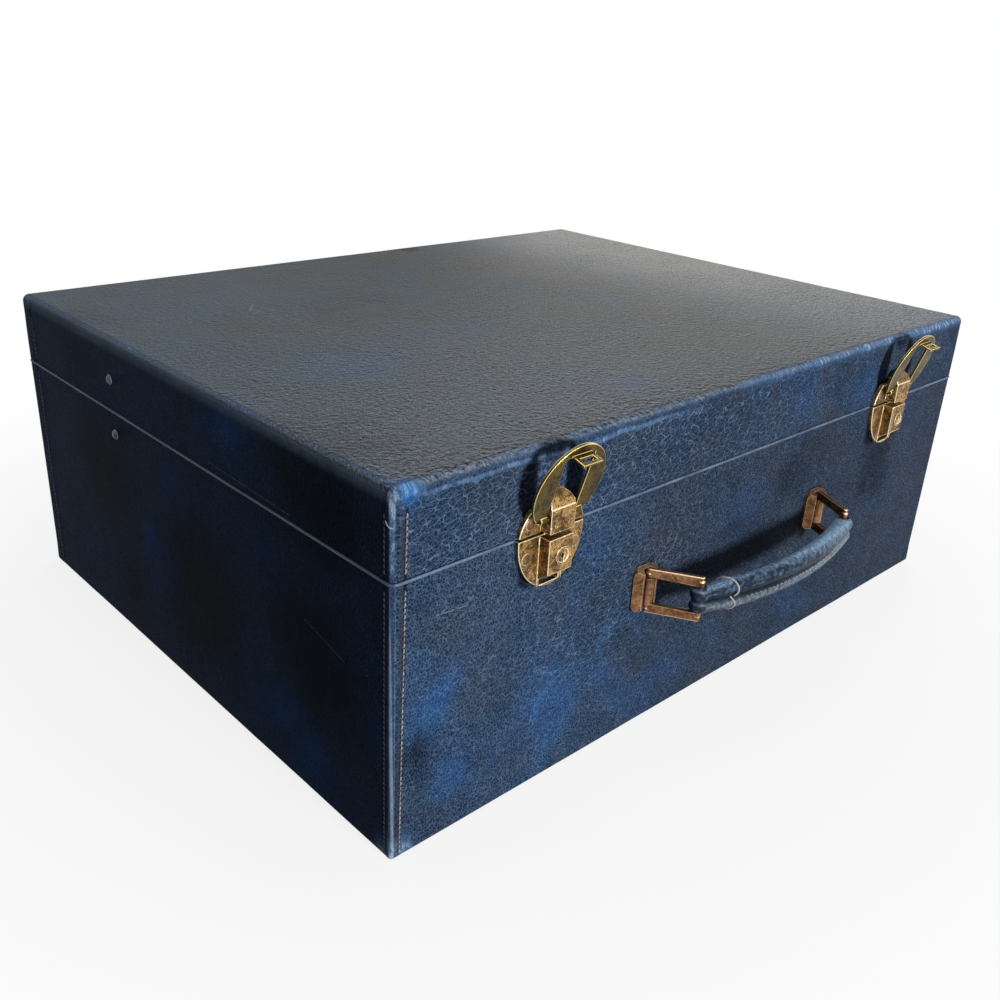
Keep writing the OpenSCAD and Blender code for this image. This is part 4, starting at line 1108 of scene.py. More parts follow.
@dataclass
class RoundedBox:
    """A grid of points over the walls and one cap of a box whose edges are rounded."""

    half_x: float
    half_y: float
    rim_z: float
    cap_z: float
    corner_r: float
    cap_r: float
    step: float = 5.5 * MM
    arc: int = 7
    blend: float = 22 * MM
    cap_reach: float = 1.0
    rim_row: float = 0.25 * MM
    near: tuple[float, ...] = (3.4, 3.9, 4.4, 4.9, 5.4, 5.9, 6.4, 6.9, 7.4, 7.9, 8.8, 9.8, 10.6, 11.2, 11.8, 12.4,
                               13.2, 15, 19, 24)
    points: np.ndarray = field(default=None, repr=False)
    normals: np.ndarray = field(default=None, repr=False)
    seam: np.ndarray = field(default=None, repr=False)
    faces: list = field(default_factory=list, repr=False)

    def _stations(self, half: float) -> tuple[np.ndarray, np.ndarray, np.ndarray]:
        """Places of the grid lines across one axis.

        Args:
            half: Half the box's size on that axis.

        Returns:
            The side of each line, how far it stands out of its corner's middle, and its place.
        """
        turn = np.tan(np.radians(45.0) * np.linspace(1.0, 0.0, self.arc + 1))
        close = half - np.array(self.near) * MM
        inner = close[-1]
        count = max(2, int(round(2 * inner / self.step)))
        middle = np.linspace(-inner, inner, count + 1)
        places = np.concatenate([-close[:-1], middle, close[:-1][::-1]])
        side = np.concatenate([-np.ones(self.arc + 1), np.zeros(len(places)), np.ones(self.arc + 1)])
        out = np.concatenate([turn, np.zeros(len(places)), turn[::-1]])
        place = np.concatenate([np.zeros(self.arc + 1), places, np.zeros(self.arc + 1)])
        return side, out, place

    def _grid(self, rim_x: np.ndarray, rim_y: np.ndarray, levels: int) -> tuple[np.ndarray, np.ndarray]:
        """Joins the grid lines into faces on the walls and on the cap.

        Args:
            rim_x: How far each line across x stands from the nearer wall.
            rim_y: The same for each line across y.
            levels: How many levels there are from the rim to the cap.

        Returns:
            The lines and the level of each point that is used, and the points of each face.
        """
        index: dict[tuple[int, int, int], int] = {}
        quads: list[list[int]] = []

        def add(*keys: tuple[int, int, int]) -> None:
            """Adds a face, whose points are counted the first time that they are used."""
            quads.append([index.setdefault(key, len(index)) for key in keys])

        last_x, last_y = len(rim_x) - 1, len(rim_y) - 1
        for k in range(levels - 1):
            for i in range(last_x):
                for j in (0, last_y):
                    add((i, j, k), (i + 1, j, k), (i + 1, j, k + 1), (i, j, k + 1))
            for j in range(last_y):
                for i in (0, last_x):
                    add((i, j, k), (i, j + 1, k), (i, j + 1, k + 1), (i, j, k + 1))
        cap = levels - 1
        for i in range(last_x):
            for j in range(last_y):
                if min(rim_x[i], rim_x[i + 1], rim_y[j], rim_y[j + 1]) < self.cap_reach:
                    add((i, j, cap), (i + 1, j, cap), (i + 1, j + 1, cap), (i, j + 1, cap))
        return np.array(list(index)), np.array(quads)

    def build(self) -> RoundedBox:
        """Fills in the points, their normals, their distance from the corner seams, and the faces.

        Returns:
            The box itself.
        """
        way = 1.0 if self.cap_z > self.rim_z else -1.0
        sx, ox, px = self._stations(self.half_x)
        sy, oy, py = self._stations(self.half_y)
        tall = abs(self.cap_z - self.rim_z) - self.cap_r
        levels = np.insert(np.linspace(0.0, tall, max(2, int(round(tall / self.step))) + 1), 1, self.rim_row)
        rise = np.tan(np.radians(45.0) * np.linspace(0.0, 1.0, self.arc + 1))[1:]
        depth = np.concatenate([levels, np.full(self.arc, tall)])
        lift = np.concatenate([np.zeros(len(levels)), rise])
        grid, quads = self._grid(np.where(sx == 0, self.half_x - np.abs(px), 0.0),
                                 np.where(sy == 0, self.half_y - np.abs(py), 0.0), len(depth))
        gi, gj, gk = grid.T
        sx, ox, px, sy, oy, py = sx[gi], ox[gi], px[gi], sy[gj], oy[gj], py[gj]
        fx, fy, z = sx * ox, sy * oy, depth[gk]
        r = self.corner_r + (self.cap_r - self.corner_r) * smooth(tall - self.blend, tall, z)
        out = np.stack([fx, fy, lift[gk]], 1)
        out /= np.linalg.norm(out, axis=1)[:, None]
        core = np.stack([np.where(sx == 0, px, sx * (self.half_x - r)),
                         np.where(sy == 0, py, sy * (self.half_y - r)), z], 1)
        made = core + r[:, None] * out
        made[:, 2] = self.rim_z + way * made[:, 2]
        out[:, 2] *= way
        across = np.degrees(np.arctan2(np.abs(fy), np.abs(fx))) - 45.0
        flat_x = np.where(sx == 0, self.half_x - r - np.abs(px), 0.0)
        flat_y = np.where(sy == 0, self.half_y - r - np.abs(py), 0.0)
        self.seam = r * np.radians(np.abs(across)) + flat_x + flat_y
        self.points, self.normals = made, out
        corners = made[quads]
        facing = np.cross(corners[:, 2] - corners[:, 0], corners[:, 3] - corners[:, 1])
        outwards = np.einsum("ij,ij->i", facing, out[quads].sum(1)) > 0
        self.faces = [q if good else q[::-1] for q, good in zip(quads.tolist(), outwards)]
        return self


class Wall(Enum):
    """A wall of the case, by the axis along it, the axis that it faces and which way it faces."""

    FRONT = (0, 1, -1.0)
    REAR = (0, 1, 1.0)
    LEFT = (1, 0, -1.0)
    RIGHT = (1, 0, 1.0)


@dataclass(frozen=True)
class StitchRow:
    """A row of stitches on one wall, near an upright corner of the case, in millimetres."""

    wall: Wall
    low: tuple[float, float]
    high: tuple[float, float]
    seam: float

    def across(self, z: np.ndarray | float) -> np.ndarray | float:
        """Where the row stands along its wall at a height, both in metres."""
        (a, za), (b, zb) = self.low, self.high
        return (a + (b - a) * (z / MM - za) / (zb - za)) * MM

    def beyond(self, p: np.ndarray) -> np.ndarray:
        """How far each point lies past the corner seam that the row holds down."""
        return np.sign(self.low[0]) * p[:, self.wall.value[0]] / MM - self.seam


@dataclass
class CaseCovers:
    """The leathercloth of the base and the lid, with its bead and stitches; a length without MM is in millimetres."""

    half_x: float = 235 * MM
    half_y: float = 183 * MM
    seam_z: float = 139.7 * MM
    lid_z: float = 140.0 * MM
    top_z: float = 180 * MM
    corner_r: float = 3 * MM
    lid_edge_r: float = 3.9 * MM
    foot_edge_r: float = 2 * MM
    bead_h: float = 1.6 * MM
    bead_proud: float = 0.5 * MM
    bead_section: tuple[tuple[float, float], ...] = (
        (1.2, 0.60), (0.42, 0.66), (0.12, 0.42), (0.0, 0.0), (0.12, -0.44), (0.42, -0.70), (1.2, -0.78))
    lock_gap: float = 20.4
    hinge_gap: float = 30.2
    skin: float = 0.72 * MM
    fold: float = 0.35 * MM
    turn_in: float = 11 * MM
    panel_inset: float = 7 * MM
    panel_skin: float = 0.62 * MM
    panel_soft: float = 0.3 * MM
    panel_edge: float = 6 * MM
    base_stitches: tuple[float, float] = (3 * MM, 135.5 * MM)
    lid_stitches: tuple[float, float] = (142.5 * MM, 171.5 * MM)
    thread_r: float = 0.40
    loose_r: float = 0.22 * MM
    loose_thread: tuple[Place, ...] = (
        (-234.5, -182.3, 163.6), (-235.1, -181.2, 163.7), (-235.25, -179.9, 164.5), (-235.25, -178.9, 165.9))
    stitch_pitch: float = 2.65 * MM
    stitch_share: float = 0.72
    stitch_lean: float = 0.22 * MM
    stitch_sunk: float = 0.42
    stitch_rise: float = 0.52
    least_dye: float = 0.08
    least_soot: float = 0.12
    pressed: tuple[tuple[float, float, float, float], ...] = (
        (-LOCK_X, 116, 151, 15), (LOCK_X, 116, 151, 15), (-77.2, 76, 95, 5), (79.6, 76, 95, 5))
    tab_low: Place = (-6.6, -184.5, 114.1)
    tab_high: Place = (6.6, -180.0, 117.0)
    rows: tuple[StitchRow, ...] = (
        StitchRow(Wall.FRONT, (-230.4, 0.0), (-228.0, 170.0), 232.5),
        StitchRow(Wall.LEFT, (-178.6, 0.0), (-178.0, 170.0), 184.0),
        StitchRow(Wall.LEFT, (172.5, 0.0), (170.0, 170.0), 180.2),
        StitchRow(Wall.RIGHT, (-173.0, 0.0), (-171.5, 170.0), 180.2),
        StitchRow(Wall.RIGHT, (173.0, 0.0), (171.5, 170.0), 184.0),
        StitchRow(Wall.REAR, (228.8, 0.0), (227.8, 170.0), 232.4),
    )
    dyed: tuple[Patch, ...] = patches(
        (-214, -183, 72, 20, 0.77), (-200, -183, 28, 20, 0.68), (-176, -183, 24, 12, 0.42),
        (-137, -183, 40, 32, 0.59), (-136, -183, 18, 16, 0.42), (-222, -183, 102, 11, 0.42),
        (-102, -183, 66, 20, 0.47), (-76, -183, 70, 18, 0.77), (-87, -183, 32, 27, 0.64),
        (-54, -183, 20, 27, 0.72), (4, -183, 107, 27, 0.59), (76, -183, 22, 19, 0.68),
        (-17, -183, 30, 24, 0.42), (175, -183, 60, 40, 0.26), (190, -183, 120, 24, 0.34),
        (-110, -183, 118, 19, 0.3), (-121, -183, 96, 14, 0.38), (49, -183, 150, 30, 0.42),
        (120, -183, 150, 22, 0.34), (-30, -183, 118, 19, 0.34), (30, -183, 60, 22, 0.26),
        (-235, 23, 69, 27, 0.81), (-235, 12, 100, 19, 0.42), (-235, 9, 122, 16, 0.34),
        (-235, -60, 168, 22, 0.64), (-235, -43, 160, 19, 0.42), (-235, -94, 101, 22, 0.38),
        (-235, -75, 62, 19, 0.34), (-235, -102, 40, 22, 0.47), (-235, -118, 20, 19, 0.47),
        (-235, 146, 90, 27, 0.3), (-235, 150, 125, 24, 0.21), (-235, -172, 60, 16, 0.26),
        (-159, -50, 180, 35, 0.68), (-54, -152, 180, 30, 0.51), (68, -20, 180, 24, 0.42),
        (-120, -90, 180, 22, 0.26), (-60, -30, 180, 19, 0.21), (-10, 120, 180, 19, 0.26),
        (235, -60, 90, 40, 0.59), (235, 80, 50, 46, 0.51), (235, 60, 160, 24, 0.42),
        (-120, 183, 70, 46, 0.59), (60, 183, 40, 49, 0.51), (150, 183, 110, 35, 0.42),
        (-30, 183, 120, 30, 0.34), (-229, -183, 177.5, 9, 1.5),
    )
    # Darker patches: those on the left end (x = -235) are painted shade, the others dark clouds and marks in the
    # cloth.
    darkened: tuple[Patch, ...] = patches(
        (-223, -183, 54, 12, 0.6), (-160, -183, 52, 16, 0.4), (-110, -183, 30, 12, 0.3),
        (10, -183, 84, 32, 0.52), (147, -183, 93, 36, 0.46), (-30, -183, 60, 22, 0.4),
        (60, -183, 118, 26, 0.5), (-235, -20, 60, 60, 0.9), (-235, 80, 100, 50, 0.8),
        (-235, -130, 80, 50, 0.9), (-235, 60, 30, 40, 0.7), (-235, 100, 160, 40, 0.5),
        (-235, -130, 155, 46, 0.8), (120, -140, 180, 60, 0.3), (-90, 60, 180, 70, 0.3),
        (235, 0, 120, 60, 0.4), (0, 183, 90, 60, 0.4), (61, 178, 180, 7, 1.6),
    )

    def build(self, shop: Workshop) -> None:
        """Makes the skins, the bead and the stitches.

        Args:
            shop: Gives the finishes.
        """
        lid = RoundedBox(self.half_x, self.half_y, self.lid_z, self.top_z, self.corner_r, self.lid_edge_r).build()
        self._skin("lid_leather", lid, "lid", "lid_cover", shop)
        base = RoundedBox(self.half_x, self.half_y, self.seam_z - self.bead_h, self.fold, self.corner_r,
                          self.foot_edge_r, arc=6, blend=12 * MM, cap_reach=self.turn_in).build()
        self._skin("base_leather", base, "base", "base_side_cover", shop)
        self._underside(shop)
        self._bead(shop)
        self._stitches("base", *self.base_stitches, shop)
        self._stitches("lid", *self.lid_stitches, shop)

    def _skin(self, name: str, box: RoundedBox, body: str, node: str, shop: Workshop) -> None:
        """Turns a rounded box into leathercloth with its creases, wear and patches.

        Args:
            name: The piece's name.
            box: The built grid.
            body: The body that carries it.
            node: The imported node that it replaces.
            shop: Gives the finishes.
        """
        p, n = box.points, box.normals
        lift = 0.14 * MM * wander(p, 0.075, 1.0) + 0.06 * MM * wander(p, 0.02, 2.0)
        upright = 1.0 - smooth(0.5, 0.8, np.abs(n[:, 2]))
        lift += 0.06 * MM * close_to(1.6, box.seam / MM) * upright
        for row in self.rows:
            lift += self._channel(row, p, n) * upright
        under = self._pressed(p)
        x, y, z = (p / MM).T
        tip = smooth(17, 13, np.abs(np.abs(x) - LOCK_X)) * smooth(98, 103, z) * smooth(120, 115, z)
        tip *= smooth(-180, -182, y)
        rise = np.minimum(lift - 0.05 * MM, 0.22 * MM) * (1 - under) - 0.5 * MM * under
        made = p + n * (rise - 0.35 * MM * tip)[:, None]
        dye = strongest(self.dyed, p, 9 * MM, 30 * MM, 3.0) + self.least_dye
        # Darkening: the darker patches, with painted shade on the left end, and more darkening under the plates and
        # brackets and just round them.
        soot_and_shade = np.maximum(strongest(self.darkened, p, 14 * MM, 50 * MM, 6.0), self.least_soot)
        painted = {"dye": dye, "soot_and_shade": soot_and_shade + under, "wear_and_shading": self._wear(p, n, body), "net": self._net(p, n, body)}
        piece = new_piece(name, (made, box.faces), body, painted)
        if body == "base":
            for middle in (-LOCK_X, LOCK_X):
                shift = np.array((middle, 0.0, 0.0))
                self._opened(piece, (shift + self.tab_low) * MM, (shift + self.tab_high) * MM)
        thicken(piece, self.skin)
        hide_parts(node)
        shop.dress(piece, Finish.LEATHERCLOTH)

    def _opened(self, piece: bpy.types.Object, low: np.ndarray, high: np.ndarray) -> None:
        """Cuts the opening behind a lock plate, where the tab of a closed ring passes through.

        Args:
            piece: The skin.
            low: Lowest corner of the opening.
            high: Its highest corner.
        """
        def within(face: bmesh.types.BMFace, margin: float) -> bool:
            """Whether a face's middle is inside the opening, or in a margin round it."""
            away = np.abs(np.array(face.calc_center_median()) - (low + high) / 2)
            return bool(np.all(away < (high - low) / 2 + margin))

        bm = bmesh.new()
        bm.from_mesh(piece.data)
        for axis in (0, 2):
            for place in (low, high):
                near = [f for f in bm.faces if within(f, 6 * MM)]
                parts = near + [e for f in near for e in f.edges] + [v for f in near for v in f.verts]
                bmesh.ops.bisect_plane(bm, geom=list(dict.fromkeys(parts)), dist=1e-7, plane_co=place,
                                       plane_no=[float(axis == k) for k in range(3)])
        bmesh.ops.delete(bm, geom=[f for f in bm.faces if within(f, 0.0)], context="FACES")
        bm.to_mesh(piece.data)
        bm.free()

    def _pressed(self, p: np.ndarray) -> np.ndarray:
        """How much each point lies under a lock plate or a handle bracket, from 0 to 1.

        Args:
            p: The skin's points.

        Returns:
            One value per point.
        """
        x, y, z = (p / MM).T
        total = np.zeros(len(p))
        for middle, low, high, half in self.pressed:
            side = smooth(half + 4, half - 1, np.abs(x - middle))
            total = np.maximum(total, side * smooth(low - 4, low, z) * smooth(high + 4, high, z))
        return total * smooth(-180, -182, y)

    def _channel(self, row: StitchRow, p: np.ndarray, n: np.ndarray) -> np.ndarray:
        """How deep a row of stitches draws the skin in, in metres.

        Args:
            row: The row of stitches.
            p: The skin's points.
            n: Their normals.

        Returns:
            The change of height of each point.
        """
        along, face, way = row.wall.value
        away = (p[:, along] - row.across(p[:, 2])) / MM
        faces_it = smooth(0.8, 0.95, n[:, face] * way)
        beyond = row.beyond(p)
        ridge = smooth(0.5, 1.2, np.abs(away)) * smooth(0.1, -0.5, beyond)
        ridge *= smooth(-0.2, 0.4, np.sign(row.low[0]) * away)
        groove = close_to(0.45, beyond) * (1.0 - smooth(168, 174, p[:, 2] / MM))
        return faces_it * (0.16 * ridge - 0.34 * groove - 0.30 * close_to(0.7, away)) * MM

    def _wear(self, p: np.ndarray, n: np.ndarray, body: str) -> np.ndarray:
        """How rubbed the leathercloth is at each point.

        Args:
            p: The skin's points.
            n: Their normals.
            body: The body that the skin is on.

        Returns:
            The wear, from 0 to 1.
        """
        x, y, z = (p / MM).T
        flat = 1.0 - smooth(0.5, 0.9, np.abs(n[:, 2]))
        ragged = 0.85 + 0.34 * wander(p, 0.012, 9.0)
        turned = smooth(0.30, 0.62, np.abs(n[:, 0])) * smooth(0.16, 0.5, np.abs(n[:, 1])) * flat
        near_corner = smooth(60, 0, np.hypot(x + 235, y + 183))
        wear_and_shading = turned * (0.10 + (0.22 + 0.42 * smooth(138, 150, z)) * near_corner) * ragged
        for row in self.rows:
            face, way = row.wall.value[1:]
            lip = close_to(0.4, row.beyond(p) - 0.65) * smooth(0.5, 0.9, n[:, face] * way)
            wear_and_shading = np.maximum(wear_and_shading, lip * (0.12 + (0.3 - 0.18 * (z > 140)) * near_corner) * flat)
        if body == "lid":
            along = 0.40 + 0.26 * smooth(-60, 60, x) + 0.20 * smooth(100, 190, x)
            front_edge = close_to(3.6, y + 182, z - 178.8) * along * ragged
            left_edge = close_to(1.7, x + 232.2, z - 180) * (0.34 + 0.3 * wander(p, 0.03, 13.0))
            rear_edge = close_to(3.2, y - 182, z - 179) * 0.2
            right_edge = close_to(3.2, x - 234, z - 179) * 0.3
            corner = smooth(-212, -224, x) * smooth(170.5, 174.5, z) * smooth(-178.5, -180.5, y)
            corner *= smooth(0.8, 0.4, -n[:, 0]) * 0.5
            spot = close_to(9.0, (x + 226) * 0.9, (y + 181) * 2.2) * smooth(175, 179.5, z) * 0.6
            rubbed_and_lit = (front_edge, left_edge, rear_edge, right_edge, corner, spot)
        else:
            low_edge = close_to(2.2, z - 0.5) * flat * 0.25 * ragged
            foot = close_to(12.0, x + 234, y + 182, z) * 0.9
            rubbed_and_lit = (low_edge, foot)
        for more in rubbed_and_lit:
            wear_and_shading = np.maximum(wear_and_shading, more)
        return np.clip(wear_and_shading, 0.0, 1.0)

    def _net(self, p: np.ndarray, n: np.ndarray, body: str) -> np.ndarray:
        """How strongly the pale creases and their painted glints show at each point, which also sets the strength of
        the painted light on the top's ripples.

        Args:
            p: The skin's points.
            n: Their normals.
            body: The body that the skin is on.

        Returns:
            The strength, from 0 to 1.
        """
        x, y, z = (p / MM).T
        front = smooth(0.3, 0.8, -n[:, 1])
        unseen = np.maximum(smooth(0.3, 0.8, n[:, 1]), smooth(0.3, 0.8, n[:, 0])) * 0.35
        top = smooth(0.4, 0.8, n[:, 2])
        if body == "lid":
            strength = front * (0.95 - 0.55 * smooth(-20, 120, x)) + top * (
                0.12 + 0.45 * smooth(60, -120, y) + 0.35 * smooth(-150, -178, y) + 0.3 * smooth(60, 200, x))
        else:
            crazed = np.exp(-(((x + 105) / 62) ** 2 + ((z - 84) / 46) ** 2))
            strength = front * (0.30 + 0.75 * crazed - 0.15 * smooth(0, 150, x))
        return np.clip(strength + unseen + 0.25 * wander(p, 0.03, 10.0) * (front + top + unseen), 0.03, 1.0)

    def _underside(self, shop: Workshop) -> None:
        """Makes the panel of leathercloth glued on the underside, over the turned-in edges.

        Args:
            shop: Gives the finishes.
        """
        wide, deep = self.half_x - self.panel_inset, self.half_y - self.panel_inset
        bm = bmesh.new()
        bmesh.ops.create_grid(bm, x_segments=60, y_segments=46, size=1.0)
        for v in bm.verts:
            v.co.x *= wide
            v.co.y *= deep
            edge = min(wide - abs(v.co.x), deep - abs(v.co.y))
            v.co.z = self.panel_soft * (1.0 - min(1.0, edge / self.panel_edge)) ** 2
        bmesh.ops.reverse_faces(bm, faces=bm.faces)
        mesh = bpy.data.meshes.new("base_bottom_leather")
        bm.to_mesh(mesh)
        bm.free()
        piece = placed(mesh.name, mesh, "base")
        thicken(piece, self.panel_skin)
        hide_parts("base_bottom_cover")
        shop.dress(piece, Finish.UNDERSIDE)

    def _outline(self, radius: float, step: float) -> np.ndarray:
        """Points round the case's plan.

        Args:
            radius: Radius of its corners.
            step: Spacing of its points.

        Returns:
            Rows of x and y, counter-clockwise from the front right corner.
        """
        a, b = self.half_x - radius, self.half_y - radius
        rows: list[tuple[float, float]] = []
        for cx, cy, start in ((a, -b, -90), (a, b, 0), (-a, b, 90), (-a, -b, 180)):
            for t in np.radians(np.linspace(start, start + 90, 9)):
                rows.append((cx + radius * math.cos(t), cy + radius * math.sin(t)))
        ring = np.array(rows + rows[:1])
        length = np.concatenate([[0], np.cumsum(np.linalg.norm(np.diff(ring, axis=0), axis=1))])
        places = np.union1d(np.arange(0, length[-1], step), length)
        return np.stack([np.interp(places, length, ring[:, 0]), np.interp(places, length, ring[:, 1])], 1)

    def _bead(self, shop: Workshop) -> None:
        """Makes the rolled bead round the rim of the base, in runs between the hinges and the locks.

        Args:
            shop: Gives the finishes.
        """
        proud = self.bead_proud
        section = [(proud - back * MM, up * MM) for back, up in self.bead_section]
        middle = self.seam_z - self.bead_h / 2
        path = self._outline(self.corner_r, 2.4 * MM)
        ahead = np.roll(path, -1, 0) - np.roll(path, 1, 0)
        side = np.stack([ahead[:, 1], -ahead[:, 0]], 1)
        side /= np.linalg.norm(side, axis=1)[:, None]
        x, y = path.T / MM
        at_lock = (y < -182) & (np.abs(np.abs(x) - LOCK_X) < self.lock_gap)
        at_hinge = (y > 182) & (np.abs(np.abs(x) - HINGE_X) < self.hinge_gap)
        kept = ~(at_lock | at_hinge)
        flat = np.column_stack([path, np.full(len(path), middle)])
        sway = 0.10 * wander(flat, 0.02, 11.0) + 0.06 * wander(flat, 0.006, 12.0)
        order = np.roll(np.arange(len(path)), -int(np.argmin(kept)))
        breaks = np.flatnonzero(np.diff(kept[order].astype(int))) + 1
        runs = [run for run in np.split(order, breaks) if kept[run[0]] and len(run) >= 3]
        parts = []
        for run in runs:
            verts = []
            for i in run:
                for out, up in section:
                    spot = path[i] + side[i] * min(out + sway[i] * MM * 0.6, proud)
                    verts.append((spot[0], spot[1], middle + up * (1.0 + 0.2 * sway[i])))
            parts.append((verts, ring_faces(len(run), len(section)) + end_faces(len(run), len(section))))
        verts, faces = merged(parts)
        spots = np.array(verts)
        # The bead on the left end is darkened: soil and painted shade.
        soil_and_shade = (0.55 + 0.3 * wander(spots, 0.012, 14.0)) * (spots[:, 0] < -0.2335)
        shop.make("rim_bead", (verts, faces), "base", Finish.BEAD, {"soil_and_shade": soil_and_shade}, "base_rim_bead")

    def _stitches(self, body: str, low: float, high: float, shop: Workshop) -> None:
        """Makes the stitches of every row on one body.

        Args:
            body: The body that carries them.
            low: Height of the lowest stitch.
            high: Height of the highest stitch.
            shop: Gives the finishes.
        """
        parts, soiled_and_shaded = [], []
        for number, row in enumerate(self.rows):
            along, face, way = row.wall.value
            out = np.zeros(3)
            out[face] = way
            for i in range(int((high - low) / self.stitch_pitch)):
                z0 = low + i * self.stitch_pitch
                path = []
                for t in np.linspace(0.0, 1.0, 5):
                    z = z0 + self.stitch_pitch * self.stitch_share * t
                    spot = out * (self.half_x if along == 1 else self.half_y)
                    spot[along] = row.across(z) + self.stitch_lean * (t - 0.5) * 2
                    spot[2] = z
                    path.append(spot + out * (self.stitch_rise * math.sin(math.pi * t) - self.stitch_sunk) * MM)
                jitter = noise.noise(Vector((number * 3.1, i * 1.7, 0.5)))
                parts.append(tube(path, (self.thread_r + 0.07 * jitter) * MM, 6))
                # Rows on the end walls are darkened: soil, and on the left end also painted shade.
                on_end = 1.4 if row.low[0] < 0 else 0.9
                soiled_and_shaded += [on_end if along == 1 else 0.1 + 0.9 * abs(jitter)] * len(parts[-1][0])
        if body == "lid":
            parts.append(tube(np.array(self.loose_thread) * MM, self.loose_r, 6))
            soiled_and_shaded += [0.0] * len(parts[-1][0])
        shop.make(f"{body}_stitches", merged(parts), body, Finish.THREAD, {"soil_and_shade": soiled_and_shaded})


@dataclass
class Bench:
    """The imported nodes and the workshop, with the two ways of finishing a node."""

    nodes: dict[str, bpy.types.Object]
    shop: Workshop

    def keep(self, finish: Finish, *names: str) -> None:
        """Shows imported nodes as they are, in a finish.

        Args:
            finish: Their finish.
            names: The nodes' names.
        """
        for name in names:
            node = self.nodes[name]
            node.data.shade_smooth()
            node.data.set_sharp_from_angle(angle=SHARP)
            self.shop.dress(node, finish)

    def soften(self, finish: Finish, width: float, *names: str, held: bool = False) -> None:
        """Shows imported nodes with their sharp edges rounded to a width, in a finish.

        Args:
            finish: Their finish.
            width: Width of the rounded edges.
            names: The nodes' names.
            held: Whether short edges hold the width back.
        """
        for name in names:
            self.shop.dress(softened(f"{name}_worn", self.nodes[name], width, held), finish)


@dataclass(frozen=True)
class Fittings:
    """The locks, hinges, stays and rivets."""

    fold_out: float = 7.5 * MM
    fold_y: float = -185.5 * MM
    fold_r: float = 0.34 * MM
    case_folds: tuple[float, float] = (113.6 * MM, 138.2 * MM)
    housing_folds: tuple[float, float] = (141.2 * MM, 153.4 * MM)
    plate_edge: float = 0.34 * MM
    box_edge: float = 0.28 * MM
    escutcheon_edge: float = 0.12 * MM
    ring_edge: float = 0.22 * MM
    hinge_edge: float = 0.3 * MM

    def _folds(self, name: str, body: str, heights: tuple[float, float], shop: Workshop) -> None:
        """Makes the folds where a lock's plates are pressed out into the box, thin tubes painted bright as a
        highlight.

        Args:
            name: The piece's name.
            body: The body that carries it.
            heights: Height of the folds' lower and upper ends.
            shop: Gives the finishes.
        """
        parts = []
        for middle in (-LOCK_X, LOCK_X):
            for side in (-self.fold_out, self.fold_out):
                path = [(middle * MM + side, self.fold_y, z) for z in np.linspace(*heights, 8)]
                parts.append(tube(path, self.fold_r, 8))
        shape = merged(parts)
        # The folds are painted bright, as a highlight.
        shop.make(name, shape, body, Finish.LOCK, {"rim": np.full(len(shape[0]), 0.8)})

    def build(self, bench: Bench) -> None:
        """Finishes the metal parts of the case.

        Args:
            bench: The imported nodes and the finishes.
        """
        self._folds("lock_case_folds", "base", self.case_folds, bench.shop)
        self._folds("hasp_housing_folds", "lid", self.housing_folds, bench.shop)
        for side in ("left", "right"):
            bench.soften(Finish.LOCK, self.plate_edge, f"{side}_lock_plate", f"{side}_hasp_plate")
            bench.soften(Finish.LOCK, self.box_edge, f"{side}_lock_case", f"{side}_hasp_housing")
            bench.soften(Finish.LOCK, self.escutcheon_edge, f"{side}_escutcheon")
            bench.soften(Finish.RING, self.ring_edge, f"{side}_hasp_ring")
            bench.keep(Finish.RING, f"{side}_hasp_pin")
            bench.keep(Finish.STEEL, f"{side}_lock_bolt")
            bench.keep(Finish.SPRING, f"{side}_bolt_spring", f"{side}_hasp_spring")
            bench.keep(Finish.STEEL, f"{side}_stay_lower_arm", f"{side}_stay_upper_arm",
                       f"{side}_stay_knee_rivet")
        bench.keep(Finish.RIVET, "lock_plate_rivets", "hasp_plate_rivets", "hasp_cross_pins")
        bench.soften(Finish.HINGE, self.hinge_edge, "hinge_lower_leaves", "hinge_upper_leaves")
        bench.keep(Finish.HINGE, "hinge_lower_rivets", "hinge_upper_rivets")
        bench.keep(Finish.STEEL, "hinge_pins", "stay_spacers", "stay_lid_spacers", "handle_backing_plates")
        bench.keep(Finish.SPRING, "stay_base_rivets", "stay_lid_rivets")


@dataclass(frozen=True)
class Interior:
    """The boards and the paper lining, by the names of their nodes."""

    boards: tuple[str, ...] = ("base_floor", "lid_top_panel")
    walls: tuple[str, ...] = ("base_walls", "lid_walls")
    papers: tuple[str, ...] = ("base_lip", "base_lining", "lid_lining")

    def build(self, bench: Bench) -> None:
        """Finishes the boards and the lining.

        Args:
            bench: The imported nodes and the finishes.
        """
        bench.keep(Finish.BOARD, *self.boards)
        bench.keep(Finish.LEATHERCLOTH, *self.walls)
        bench.keep(Finish.LINING, *self.papers)


@dataclass(frozen=True)
class RollShape:
    """Section of a leather roll of the grip, in its middle and at its ends."""

    r: float
    z: float
    end: tuple[float, float, float]
    uneven: float
    pointed: float = 0.0

    def section(self, edge: float) -> tuple[float, float, float]:
        """The roll's section at a distance from its nearer end.

        Args:
            edge: The distance.

        Returns:
            Half width, half height and middle height.
        """
        share = float(smooth(4 * MM, 24 * MM, np.array(edge)))
        wide, tall, z = self.end
        return wide + (self.r - wide) * share, tall + (self.r - tall) * share, z + (self.z - z) * share


